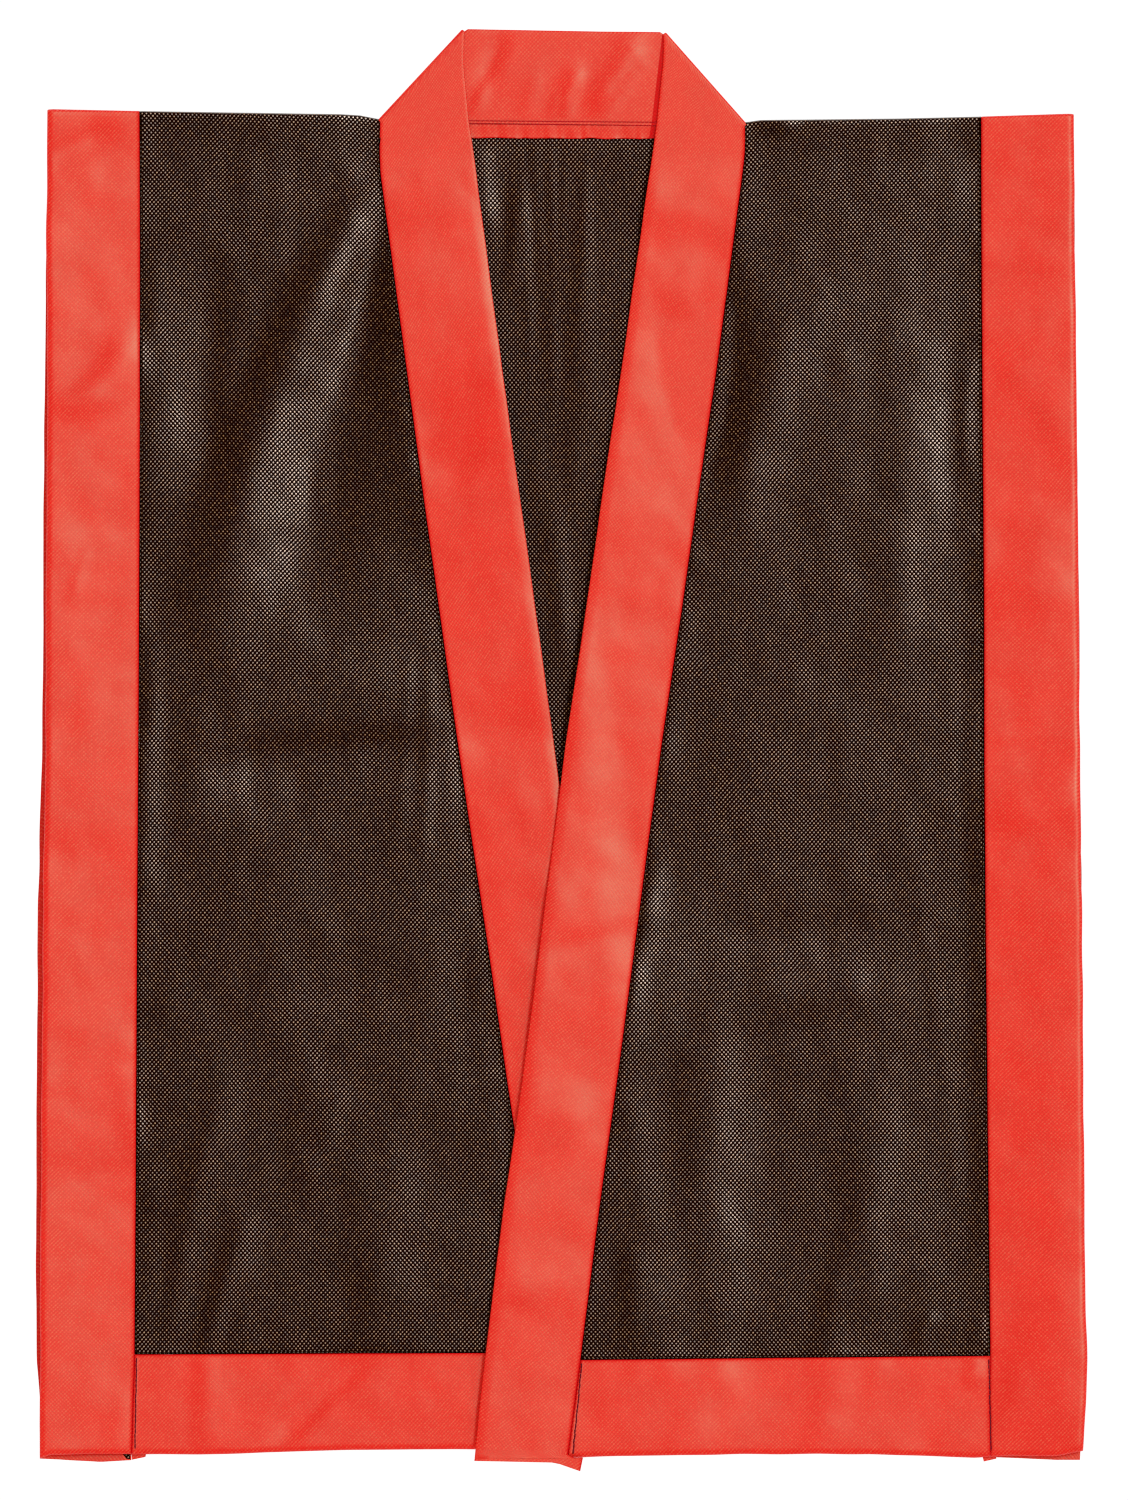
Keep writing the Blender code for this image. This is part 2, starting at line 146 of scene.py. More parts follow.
# crest or trough: its two ends, how far its middle bows to the left of the line between them, its half width
# at each end, its height, how far it leans (its left flank the wider) if it does, and how sharp it is (a round
# swell if left out, 1 a pressed crease)
panelFolds = (
    # left front: the large fold from shoulder to waist, and those beside it
    (-104, 334, -200, 64, -12.2, 12.2, 23, 3.9, 0.01), (-102, 301, -154, 68, -1.7, 7.5, 30, -2.94, 0.02),
    (-158, 267, -215, 136, -2.2, 7.3, 6.5, -0.43, -0.19), (-233, 284, -234, 110, -0.4, 6.2, 12.9, 0.8, 0.34),
    (-236, 68, -242, -106, 0.8, 5.6, 9.7, 1, 0.03), (-94, 299, -68, 104, -4.6, 8.6, 25.5, 3.2, -0.05),
    # left front: neck, chest and waist
    (-104, 353, -127, 326, 0.1, 6, 6, 0.4, 0.02), (-198, 300, -190, 211, 1.8, 7.2, 8.3, -0.16, 0.03),
    (-186, 61, -186, -111, 0.4, 6, 6.9, 0.22, 0.02), (-204, -16, -70, 4, 2.3, 20, 11, -2.6, -0.2),
    (-150, 29, -64, 37, 2.1, 10.2, 8.5, 0.37, 0.03), (-151, -76, -92, -73, -6.4, 23.5, 19.6, 0.17, -0.01),
    (-160, -138, -83, -124, -5.3, 18.2, 13.6, -0.62, 0.05), (-88, 61, -94, -60, 0.7, 4.1, 3.9, 0.23, -0.02),
    (-76, 60, -80, -69, 1.2, 4, 4, 0.39, 0.06),
    # left front: above the hem
    (-49, -106, -37, -232, -1.6, 6.4, 8, 0.31, 0.19), (-91, -245, -47, -245, 3, 19.9, 20.9, -0.48, 0.11),
    (-153, -196, -123, -206, -3, 16.5, 17.5, 0.56, -0.08), (-150, -232, -138, -261, 2.4, 11.3, 10.4, 0.24, 0.05),
    (-122, -261, -116, -318, -0.1, 9.8, 7.8, 0.19, -0.02), (-194, -193, -224, -337, -3.5, 9.1, 6.8, 0.8, 0.1),
    (-180, -265, -206, -352, -0.7, 8.3, 5.8, 1.37, 0.15), (-180, -321, -193, -349, 0.3, 3.5, 3.5, 0.35, 0.01),
    (-234, -230, -237, -333, -0.6, 4.8, 4.8, 0.23, 0.03), (-112, -237, -116, -349, 12.5, 21.4, 15.6, 1.1, 0.31),
    # left front: shoulder and chest
    (-235, 345, -151, 330, -0.5, 17, 14.3, 0.21, 0.02), (-202, 286, -207, 156, 1.1, 10.8, 12.6, -1.39, -0.33),
    # right front: chest and neck
    (95, 280, 80, 147, 3.4, 9.9, 11.6, -2.94, 0.15), (134, 264, 96, 119, 1.5, 16, 16, 1.47, 0.08),
    (151, 272, 142, 245, 0.4, 9.6, 7.7, 0.35, 0.03), (108, 360, 136, 360, -0.6, 4.6, 4.4, 1.1, 0.1),
    # right front: along the side seam
    (198, 237, 193, 26, -1, 15.7, 12.5, 0.85, -0.23), (225, 229, 228, 115, -0.6, 10.1, 12, -0.95, 0.2),
    (235, 222, 234, 156, -2.3, 4.2, 4.1, 0.42, -0.12), (245, 120, 245, 36, 0, 9, 9, 1),
    (244, -10, 244, -130, 0, 9, 9, 1.1), (245, -120, 243, -330, 0, 9, 9, 0.9),
    (196, -32, 231, -300, 4, 3.7, 4.4, 0.21, 0.13, 0.4), (232, 61, 232, -71, -1.8, 3.8, 3.9, -0.19, -0.05),
    # right front: middle, and by the collar
    (162, 191, 152, 59, 1.4, 20.8, 17.3, 0.4, 0.06), (66, 78, 59, -21, 1, 6.1, 5.6, 0.58, 0.26),
    (56, -60, 40, -178, -2.5, 7.2, 11.1, 2.2, 0.51), (69, -93, 54, -196, -0.7, 11, 10.7, 0.66, -0.01),
    # right front: belly
    (81, -107, 198, -98, -3.5, 14.5, 12.3, -0.93, -0.06), (106, -148, 192, -133, 0, 10.6, 13.1, 0.92, -0.02),
    (109, -207, 178, -193, 4.4, 16.1, 15.1, -0.24, 0.03),
    # right front: above the hem
    (85, -150, 86, -376, -1.9, 16.7, 24, 1.9, -0.12), (70, -230, 57, -332, 0.3, 12.7, 13, 0.29, -0.01),
    (41, -281, 42, -342, 1.4, 8.6, 9.7, 1.1, 0.21), (184, -181, 172, -345, -1, 18.9, 15.5, 1.21, 0.13),
    (180, -262, 154, -302, 0.6, 8.3, 8, 0.63, 0.01), (157, -297, 150, -360, 2.5, 8.4, 10, 1.1, 0.07),
    (215, -323, 204, -343, -0.9, 4.5, 4.2, 0.99, 0.04), (242, -325, 242, -348, -0.3, 5.7, 5.9, 0.8, -0.1),
    # right front: shoulder
    (168, 319, 203, 331, -0.1, 10.1, 10.1, 0.37, -0.01),
)
borderFolds = (
    # left side border
    (-306, 337, -256, 357, -0.2, 8.8, 6.5, -1.4, -0.17), (-293, 316, -263, 322, 0.5, 9, 8.7, 0.28),
    (-244, 244, -287, 195, 8.7, 15.9, 9.1, 2.88, 0.2), (-296, 120, -248, 121, 0.3, 6.3, 6.1, 0.29, -0.01),
    (-272, 117, -281, 84, -0.8, 3.4, 3.2, 0.42, 0.18), (-295, 106, -279, 112, 1, 4, 4.1, 0.24),
    (-300, 72, -245, 86, 1.5, 8.1, 8.9, -0.34, 0.01), (-306, -62, -248, -56, -2, 14.3, 9.7, -0.91, -0.1),
    (-297, -138, -251, -118, 1.2, 15.6, 11.4, 0.41, 0.1), (-260, -177, -244, -236, 4.1, 9.1, 7.4, 0.66, -0.11),
    (-306, -256, -244, -239, 0.9, 9.1, 6.1, -0.71, 0.03), (-251, -365, -256, -405, 0.2, 5.2, 6.3, 0.47, 0.11),
    # right side border
    (234, 283, 295, 284, -0.5, 10.2, 8.5, 0.78, 0.03), (250, 340, 285, 330, 0.8, 12.5, 12.4, 0.28),
    (255, 227, 298, 170, -0.4, 9, 9.1, 0.3, 0.05), (281, 144, 273, 75, 0.5, 18.6, 18, 1.69, -0.09),
    (247, 53, 302, 49, 1.5, 11.2, 12.8, -0.58, -0.03), (240, 7, 300, 8, 0.6, 3.3, 3.2, 0.43, -0.02, 0.8),
    (250, -38, 308, -26, 1.7, 14.3, 19.9, 2.21, 0.08), (297, 8, 296, -341, -1.9, 36, 30.5, 2.88, -0.08),
    (245, -196, 287, -210, -0.8, 11.5, 11.7, 0.35, -0.03), (252, -250, 299, -261, 1.3, 12.2, 13.7, 0.38),
    (297, -302, 284, -404, -0.9, 25.8, 28.9, 2.88, 0.13), (266, -345, 255, -398, 1.8, 8.8, 8.6, 0.89, 0.17),
    # left of the collar
    (-100, 326, -48, 337, -2.5, 9.3, 10.3, -0.71, -0.06), (-59, 329, -46, 296, 3.9, 4.1, 4.2, -0.42, -0.01),
    (-84, 176, -50, 160, -1.8, 11.3, 14.9, -1.25, 0.21), (-35, 232, -21, 163, -1.5, 17.1, 18, 2.88, -0.25),
    (-88, 201, -61, 193, -0.2, 9.5, 9.5, -0.3, -0.02), (-76, 98, -42, 106, 2.4, 12, 12.3, -0.34, 0.09),
    (-12, 80, -12, 40, -1.2, 8, 8.7, 0.48, -0.05), (-62, 6, 11, 8, 0.9, 16.9, 21.5, -2.5, -0.17, 0.5),
    (-52, -46, -14, -28, -0.2, 16, 10.7, 1.06, -0.07),
    # right of the collar
    (37, 289, 98, 290, -0.3, 19.4, 12.9, -1.81, -0.08), (62, 354, 103, 345, 0.5, 10.8, 15, 1.74, -0.35),
    (40, 272, 80, 155, 11.1, 7.6, 8.7, 0.38, 0.06), (52, 265, 82, 179, 1.1, 10.6, 12.9, -1.16, -0.06),
    (67, 235, 82, 193, 0.1, 5, 4.9, 0.41, -0.12), (21, 75, 73, 81, -2.6, 14.1, 12.1, -0.38, -0.11),
    (32, 126, 71, 132, 1.4, 13.3, 13.7, 0.5), (7, -24, 44, -53, -2.5, 13.1, 13.5, -0.43, -0.03),
    (-18, -117, 50, -100, -3.1, 8.2, 8, -1.08, -0.12), (-28, -205, 19, -216, 0.4, 25.2, 19, 1.58, 0.05),
    (-30, -260, 19, -261, 1.6, 14.1, 12.9, 0.44, 0.07), (-35, -312, 15, -300, -2.1, 10.8, 12.7, 0.97, -0.1),
    (-11, -343, -13, -405, -0.1, 11.2, 11.1, 0.42),
    # left hem border
    (-203, -348, -206, -406, 1.4, 10.7, 11.3, 0.95, 0.34), (-128, -347, -179, -410, 0.8, 7.3, 7.4, -0.85, 0.04),
    (-107, -347, -166, -405, -3.6, 7, 7.5, -2.05, -0.11),
    # right hem border
    (90, -350, 83, -409, 0.2, 13.7, 17.8, 1.12, 0.03), (47, -347, 32, -374, 1.6, 6.2, 5.8, 0.41, 0.07),
    (168, -349, 135, -410, 2.3, 9.5, 9.9, 0.5, 0.06), (182, -344, 177, -381, 1.6, 5.8, 5.7, 0.44, 0.04),
    (234, -376, 202, -404, -0.5, 8.2, 9, -0.55, -0.07), (236, -344, 235, -366, 2, 4.7, 5, 0.88, 0.01),
)
lie = {
    "overrun": 0.12,  # a fold runs on past its two ends by this share of its length
    "taper": 0.42,  # and rises from nothing over this share
    "crestRound": 0.1,  # how round the top of a sharp crest still is
    "levelling": 0.02,  # how softly a trough levels out on what it lies on
    "neckRamp": (318.0, 344.0),  # the front rises over the back of the collar between these heights
    "neckReach": (108.0, 130.0),
    "border": 54.0,
    "borderDamping": 0.6,
    "borderRunIn": 12.0,  # a border's folds die away this far inside the panel
    # rise of a border towards its free edge
    "tilt": {"sideLeft": 0.075, "sideRight": 0.050, "collarLeft": 0.028, "collarRight": 0.044},
    "bed": 2.0,  # air under the whole front
    "lapMargin": 10.0,  # the right front comes down to the back from this far beside the left collar's edge
    "lapRamp": 30.0,
    "loft": 1.0,  # of the shoulder fold
    "loftReach": 16.0,
    "puff": 0.6,  # more air in the middle of a panel
    "puffReach": 45.0,
    "underlapMargin": -12.0,  # the left front stays flat from this far outside the right collar's edge
    "underlapRamp": 14.0,
    "ripples": ((40.0, 70.0, 0.40), (15.0, 22.0, 0.20), (9.0, 12.0, 0.11)),  # across, along, height
    "borderRipples": ((30.0, 22.0, 0.36), (13.0, 10.0, 0.15), (6.0, 5.0, 0.04)),
}


def softNoise(x, y, acrossSize, alongSize, start):
    # a net of random heights, blended smoothly between its corners
    heights = np.random.default_rng(start).uniform(-1.0, 1.0, (128, 128))
    u = x / acrossSize + 64.0
    v = y / alongSize + 64.0
    column = np.floor(u).astype(int)
    row = np.floor(v).astype(int)
    right = ease(u - column)
    up = ease(v - row)
    low = mix(heights[row % 128, column % 128], heights[row % 128, (column + 1) % 128], right)
    high = mix(heights[(row + 1) % 128, column % 128], heights[(row + 1) % 128, (column + 1) % 128], right)
    return mix(low, high, up)


def wavering(along, size, start):
    # the same net read along one line
    return softNoise(along, 0.0 * along, size, 1.0, start)


def foldsAt(table, x, y):
    # sum of folds: a bell or a sharp crest across, fading out towards both ends
    total = np.zeros_like(x)
    for fold in table:
        x0, y0, x1, y1, bow, width0, width1, height, lean, sharp = (*fold, 0.0, 0.0)[:10]
        length = math.hypot(x1 - x0, y1 - y0)
        along = ((x - x0) * (x1 - x0) + (y - y0) * (y1 - y0)) / length**2
        across = ((y - y0) * (x1 - x0) - (x - x0) * (y1 - y0)) / length
        across = across - bow * 4.0 * along * (1.0 - along)
        width = mix(width0, width1, np.clip(along, 0.0, 1.0))
        width = width * (1.0 + lean * np.tanh(across / (0.5 * (width0 + width1))))
        fromEnd = np.minimum(along, 1.0 - along) + lie["overrun"]
        bell = np.exp(-((across / width) ** 2))
        crest = np.exp(lie["crestRound"] - np.sqrt((across / width) ** 2 + lie["crestRound"] ** 2))
        total += height * ease(fromEnd / lie["taper"]) * mix(bell, crest, sharp)
    return total


def ripplesAt(table, x, y, start):
    # sum of soft noises, each by its sizes and its height
    total = np.zeros_like(x)
    for number, (acrossSize, alongSize, height) in enumerate(table):
        total += height * softNoise(x, y, acrossSize, alongSize, start + number)
    return total


def panelShape(side, x, y):
    # a front's air and folds; a border takes the height at its seam, tilts, and has folds of its own
    collarSeam = collarEdge(side + "Seam", y)
    sideSeam = bodyEdge("seam" + side.title(), y)
    hem = alongLine(hemSeam[side], x)
    innerX = np.clip(x, np.minimum(sideSeam, collarSeam), np.maximum(sideSeam, collarSeam))
    innerY = np.maximum(y, hem)
    inside = np.minimum(np.minimum(np.abs(innerX - sideSeam), np.abs(innerX - collarSeam)), innerY - hem)
    sign = -1.0 if side == "left" else 1.0
    beyondSide = np.maximum((x - sideSeam) * sign, 0.0)
    beyondCollar = np.maximum((collarSeam - x) * sign, 0.0)
    outside = np.hypot(beyondSide, np.maximum(hem - y, 0.0)) * (beyondCollar == 0.0)
    folds = foldsAt(panelFolds, innerX, innerY) * (1.0 - lie["borderDamping"] * ease(outside / lie["border"]))
    own = foldsAt(borderFolds, x, y) + ripplesAt(lie["borderRipples"], x, y, 17)
    tilt = lie["tilt"]["side" + side.title()] * beyondSide + lie["tilt"]["collar" + side.title()] * beyondCollar
    air = lie["bed"] + lie["puff"] * ease(inside / lie["puffReach"])
    return air + folds + tilt + own * ease(1.0 - inside / lie["borderRunIn"])


def softFloor(height):
    # never under 0, with no kink where it comes close
    return 0.5 * (height + np.sqrt(height * height + lie["levelling"]))


def rise(side, x, y):
    # how far the front layer stands above where it would lie flat on the back
    neck = ease((y - lie["neckRamp"][0]) / (lie["neckRamp"][1] - lie["neckRamp"][0]))
    neck = neck * ease((lie["neckReach"][1] - np.abs(x)) / (lie["neckReach"][1] - lie["neckReach"][0]))
    loft = lie["loft"] * np.exp(-(((alongLine(shoulderLine, x) - y) / lie["loftReach"]) ** 2))
    base = mix(loft, cloth["lapRise"], neck)
    shape = softFloor(panelShape(side, x, y) + ripplesAt(lie["ripples"], x, y, 7)) * (1.0 - neck)
    if side == "left":
        under = collarEdge("rightFree", y) - x - lie["underlapMargin"]
        return base + shape * ease(under / lie["underlapRamp"])
    beyond = x - collarEdge("leftFree", y) - lie["lapMargin"]
    return np.maximum(base, cloth["lapRise"] * (1.0 - ease(beyond / lie["lapRamp"]))) + shape


def frontTop(side, x, y):
    # outer face of a front: what it lies on, its rise and its own layer
    return cloth["frontFloor"] + rise(side, x, y) + cloth["layer"]


# making cloth from grids

def placed(name, data):
    # an object in the scene for a mesh, lamp or camera
    thing = bpy.data.objects.new(name, data)
    bpy.context.scene.collection.objects.link(thing)
    return thing


def shares(length, startTight=False, endTight=False, step=None):
    # places of grid lines along a length, as shares of it, closer together beside a seam
    close = np.array(cloth["linesBySeam"])
    start = close if startTight else close[:1]
    end = length - close[::-1] if endTight else np.array((length,))
    count = max(round((end[0] - start[-1]) / (step or cloth["step"])), 1)
    middle = np.linspace(start[-1], end[0], count + 1)[1:-1]
    return np.concatenate((start, middle, end)) / length


def gridNormals(grid):
    # cross product of a grid's two ways, made 1 long
    rowWay = np.gradient(grid, axis=0)
    columnWay = np.gradient(grid, axis=1)
    normal = np.cross(columnWay, rowWay)
    return normal / np.maximum(np.linalg.norm(normal, axis=-1, keepdims=True), 1e-9)


def arcLength(points):
    # distance run from the first row, for each column
    steps = np.linalg.norm(np.diff(points, axis=0), axis=-1)
    return np.concatenate((np.zeros((1, points.shape[1])), np.cumsum(steps, axis=0)))


def closedCloth(name, outer, uv, material, paintedShadeDistance=cloth["noSeam"], flip=False):
    # a closed wall of cloth from a grid on its outer face: the grid, its copy one wall further in, and the rim
    normals = gridNormals(outer) * (-1.0 if flip else 1.0)
    inner = outer - normals * cloth["wall"]
    rows, columns = outer.shape[:2]
    index = np.arange(rows * columns).reshape(rows, columns)
    outerFaces = np.stack((index[:-1, :-1], index[:-1, 1:], index[1:, 1:], index[1:, :-1]), -1).reshape(-1, 4)
    innerFaces = outerFaces[:, ::-1] + rows * columns
    loop = np.concatenate((index[0, :-1], index[:-1, -1], index[-1, :0:-1], index[:0:-1, 0]))
    following = np.roll(loop, -1)
    rim = np.stack((following, loop, loop + rows * columns, following + rows * columns), -1)
    faces = np.concatenate((outerFaces, innerFaces, rim))
    if flip:
        faces = faces[:, ::-1]
    mesh = bpy.data.meshes.new(name)
    points = np.concatenate((outer.reshape(-1, 3), inner.reshape(-1, 3))) * mm
    mesh.from_pydata(points.tolist(), [], faces.tolist())
    mesh.polygons.foreach_set("use_smooth", np.ones(len(faces), bool))
    mesh.set_sharp_from_angle(angle=math.radians(cloth["sharpAngle"]))
    doubled = np.concatenate((uv.reshape(-1, 2), uv.reshape(-1, 2))) * mm
    mesh.uv_layers.new(name="weave").data.foreach_set("uv", doubled[faces.ravel()].ravel())
    # distance by which the material paints shade: from the nearest seam, or from the right front's free edge behind the
    # neck
    distance = np.broadcast_to(paintedShadeDistance, (rows, columns)).ravel()
    layer = mesh.attributes.new("paintedShadeDistance", "FLOAT", "POINT")
    layer.data.foreach_set("value", np.concatenate((distance, distance)) * mm)
    mesh.validate()
    mesh.materials.append(material)
    return placed(name, mesh)


def seamDip(distance):
    # how far a face has turned down into its seam, by its distance from it
    return cloth["seamDip"] * np.exp(-((distance / cloth["seamTurn"]) ** 2))


def seamStep(fromLeft, fromRight):
    # at a seam the cloth on its left rides up and the cloth on its right goes down
    return seamDip(fromRight) - seamDip(fromLeft)


def overFold(row, outward, floor, steps=12, leg=0.0, flat=1.0):
    # rows that carry a face's last row round half a circle or oval, down to the floor, and back by a leg
    radius = (row[:, 2] - floor) / 2.0
    angle = np.linspace(0.0, math.pi, steps + 1)[1:, None]
    rows = np.repeat(row[None], steps, axis=0)
    rows[..., :2] += outward * (flat * radius * np.sin(angle))[..., None]
    rows[..., 2] = floor + radius * (1.0 + np.cos(angle))
    if leg:
        last = rows[-1:].copy()
        last[..., :2] -= outward * leg
        rows = np.concatenate((rows, last))
    return rows


def foldedStrip(centre, half, innerColumns=14, capSteps=7):
    # the outer face of a strip folded lengthwise round its centre surface: over the upper side from the seam
    # to the free edge, round the edge in half a circle, and back along the lower side
    normal = gridNormals(centre)
    across = centre[:, -1] - centre[:, -2]
    across = across / np.linalg.norm(across, axis=-1, keepdims=True)
    angle = np.linspace(0.0, math.pi, capSteps + 2)[1:-1, None, None]
    edge = centre[:, -1] - across * half
    cap = edge + half * (np.cos(angle) * normal[:, -1] + np.sin(angle) * across)
    upper = centre + normal * half
    upper[:, -1] = edge + normal[:, -1] * half
    lower = centre - normal * half
    lower[:, -1] = edge - normal[:, -1] * half
    picks = np.unique(np.linspace(0, centre.shape[1] - 1, innerColumns).round().astype(int))[::-1]
    return np.concatenate((upper, cap.transpose(1, 0, 2), lower[:, picks]), axis=1)


def stripUv(strip, along):
    # across the strip by its own run, and along it
    run = arcLength(strip.transpose(1, 0, 2)).T
    return np.stack((run, np.broadcast_to(along, run.shape)), -1)


def riding(piece):
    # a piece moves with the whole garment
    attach(piece, "root")
    return piece


def finished(piece, slotName, *nodes):
    # the same, and it is shown in place of its solids
    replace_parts(riding(piece), *nodes)
    return piece


# the two cloths

blackCloth = {
    "cell": (2.40, 2.70),  # one repeat of the embossed dots
    "dot": (0.366, 0.180, 0.034),
    "between": (0.060, 0.011, 0.0),
    "betweenAt": 0.4,  # share of the way from pit to dot
    "pit": (0.0110, 0.0010, 0.0),
    "dotSpread": (0.40, 1.0),  # the palest dots beside the darkest
    "tint": (1.0, 0.83, 0.71),  # of the shine
    "shine": 1.0,
    "insideShine": 0.74,  # of the back's inner face, in the V of the neck
    "bend": 1.60,  # how strongly light glances off
    "roughness": (0.08, 0.50),  # of the smooth film between the dots, and of a dot
    "bump": 0.02,
    "slant": 0.54,  # share of the emboss that runs one way along its diagonal
    "sharp": (0.05, 0.95),  # where between its waves a dot starts and is full
    "grain": 0.6,  # how unevenly the fibres fill it
    "mottle": 0.20,  # how far larger patches differ in shade
    # painted shade beside each seam, where the cloth turns into it: its colour, strength and reach, and the roughness
    # there
    "paintedSeamShadeColour": (0.003, 0.001, 0.0),
    "seamShade": 1.0,
    "seamReach": 1.9,
    "seamRoughness": 0.08,
}
redCloth = {
    "cell": (2.20, 2.25),
    "dot": (0.880, 0.072, 0.034),
    "between": (0.870, 0.007, 0.003),
    "betweenAt": 0.4,
    "pit": (0.825, 0.0, 0.001),
    "dotSpread": (0.5, 1.0),
    "tint": (0.06, 0.77, 0.51),
    "shine": 0.33,
    "bend": 1.50,
    "roughness": (0.46, 0.54),
    "bump": 0.025,
    "slant": 0.65,
    "sharp": (-0.75, 0.95),
    "grain": 0.9,
    "mottle": 0.07,
    # painted shade beside each seam, where the cloth turns into it: its colour, strength and reach, and the roughness
    # there
    "paintedSeamShadeColour": (0.68, 0.0, 0.004),
    "seamShade": 0.9,
    "seamReach": 0.95,
    "seamRoughness": 0.15,
}
# what both cloths and the threads share; each noise by its scale, in repeats to the metre, and its detail
surface = {
    "driftNoise": (16.0, 1.0),  # the rows of dots wander by it
    "drift": 0.003,
    "slantNoise": (28.0, 1.0),
    "slantSpread": 0.5,
    "fibreNoise": (700.0, 2.0),
    "mottleNoise": (45.0, 4.0),
    "seamCore": 0.2,  # the painted seam shade is full this close to it
    "strandNoise": (2500.0, 3.0),
    "strandShades": (0.55, 1.45),
    "strandShine": 0.05,
}


def node(tree, kind, inputs=(), **settings):
    # a node with its inputs linked or set, by name or number
    made = tree.nodes.new(kind)
    for name, value in settings.items():
        setattr(made, name, value)
    for name, value in dict(inputs).items():
        if isinstance(value, bpy.types.NodeSocket):
            tree.links.new(value, made.inputs[name])
        else:
            made.inputs[name].default_value = value
    return made


def calc(tree, operation, first, second=0.0):
    # one step of arithmetic
    return node(tree, "ShaderNodeMath", {0: first, 1: second}, operation=operation).outputs[0]


def noise(tree, place, scale, detail, output=0):
    # cloudy noise from 0 to 1
    return node(tree, "ShaderNodeTexNoise", {"Vector": place, "Scale": scale, "Detail": detail}).outputs[output]


def ranged(tree, value, low, high):
    # 0 to 1 made into low to high
    return node(tree, "ShaderNodeMapRange", {"Value": value, "To Min": low, "To Max": high}).outputs[0]


def smoothStep(tree, value, low, high, toHigh=1.0):
    # low to high made into 0 to 1 or to toHigh, with level ends
    inputs = {"Value": value, "From Min": low, "From Max": high, "To Max": toHigh}
    return node(tree, "ShaderNodeMapRange", inputs, interpolation_type="SMOOTHSTEP").outputs[0]


def mixColour(tree, share, first, last, blend="MIX"):
    # two colours, blended by a share
    made = node(tree, "ShaderNodeMix", {"Factor": share, 6: first, 7: last}, data_type="RGBA", blend_type=blend)
    return made.outputs[2]


def shaded(tree, colour, shade):
    # a colour times a grey
    grey = node(tree, "ShaderNodeCombineColor", {0: shade, 1: shade, 2: shade}).outputs[0]
    return mixColour(tree, 1.0, colour, grey, "MULTIPLY")


def newMaterial(name):
    # a material, its nodes and its shader
    material = bpy.data.materials.new(name)
    material.use_nodes = True
    return material, material.node_tree, material.node_tree.nodes["Principled BSDF"]


def embossWaves(tree, weave, look):
    # two sets of slanting waves, whose crests cross in the dots, and a number for each dot
    drift = noise(tree, weave, *surface["driftNoise"], "Color")
    drift = node(tree, "ShaderNodeVectorMath", {0: drift, 1: (0.5, 0.5, 0.5)}, operation="SUBTRACT").outputs[0]
    drift = node(tree, "ShaderNodeVectorMath", {0: drift, "Scale": surface["drift"]}, operation="SCALE").outputs[0]
    place = node(tree, "ShaderNodeVectorMath", {0: weave, 1: drift}, operation="ADD").outputs[0]
    axes = node(tree, "ShaderNodeSeparateXYZ", {0: place})
    across, along = (calc(tree, "DIVIDE", axes.outputs[way], look["cell"][way] * mm) for way in (0, 1))
    rising, falling = calc(tree, "SUBTRACT", across, along), calc(tree, "ADD", across, along)
    crests = [calc(tree, "COSINE", calc(tree, "MULTIPLY", way, 2.0 * math.pi)) for way in (rising, falling)]
    patches = calc(tree, "SUBTRACT", noise(tree, weave, *surface["slantNoise"]), 0.5)
    slant = calc(tree, "ADD", calc(tree, "MULTIPLY", patches, surface["slantSpread"]), look["slant"])
    rest = calc(tree, "SUBTRACT", 1.0, slant)
    waves = calc(tree, "ADD", calc(tree, "MULTIPLY", crests[0], slant), calc(tree, "MULTIPLY", crests[1], rest))
    cell = {0: calc(tree, "ROUND", rising), 1: calc(tree, "ROUND", falling)}
    cell = node(tree, "ShaderNodeCombineXYZ", cell).outputs[0]
    chance = node(tree, "ShaderNodeTexWhiteNoise", {"Vector": cell}, noise_dimensions="2D").outputs[0]
    return waves, chance


def clothMaterial(name, look):
    # dots where the waves cross, ragged by fibres, in colour, roughness and relief; patches; a painted shade beside
    # seams and a painted shadow beside the right front's free edge behind the neck
    material, tree, shader = newMaterial(name)
    weave = node(tree, "ShaderNodeUVMap", uv_map="weave").outputs[0]
    waves, chance = embossWaves(tree, weave, look)
    fibre = calc(tree, "SUBTRACT", noise(tree, weave, *surface["fibreNoise"]), 0.5)
    emboss = smoothStep(tree, calc(tree, "ADD", waves, calc(tree, "MULTIPLY", fibre, look["grain"])), *look["sharp"])
    # each dot is lighter or darker than the next
    lit = calc(tree, "MULTIPLY", emboss, ranged(tree, chance, *look["dotSpread"]))
    ramp = node(tree, "ShaderNodeValToRGB", {0: lit})
    colours = ramp.color_ramp.elements
    colours[0].color = (*look["pit"], 1.0)
    colours[1].color = (*look["dot"], 1.0)
    colours.new(look["betweenAt"]).color = (*look["between"], 1.0)
    shade = ranged(tree, noise(tree, weave, *surface["mottleNoise"]), 1.0 - look["mottle"], 1.0 + look["mottle"])
    colour = shaded(tree, ramp.outputs[0], shade)
    # painted shade: a darker colour and its own roughness near a seam or the shadowed edge, by the distance each piece
    # stores
    seam = node(tree, "ShaderNodeAttribute", attribute_name="paintedShadeDistance").outputs["Fac"]
    near = smoothStep(tree, seam, look["seamReach"] * mm, surface["seamCore"] * mm, look["seamShade"])
    colour = mixColour(tree, near, colour, (*look["paintedSeamShadeColour"], 1.0))
    tree.links.new(colour, shader.inputs["Base Color"])
    rough = ranged(tree, near, ranged(tree, emboss, *look["roughness"]), look["seamRoughness"])
    tree.links.new(rough, shader.inputs["Roughness"])
    bump = {"Strength": 1.0, "Distance": look["bump"] * mm, "Height": emboss}
    tree.links.new(node(tree, "ShaderNodeBump", bump).outputs[0], shader.inputs["Normal"])
    shader.inputs["IOR"].default_value = look["bend"]
    shader.inputs["Specular IOR Level"].default_value = look["shine"]
    shader.inputs["Specular Tint"].default_value = (*look["tint"], 1.0)
    return material


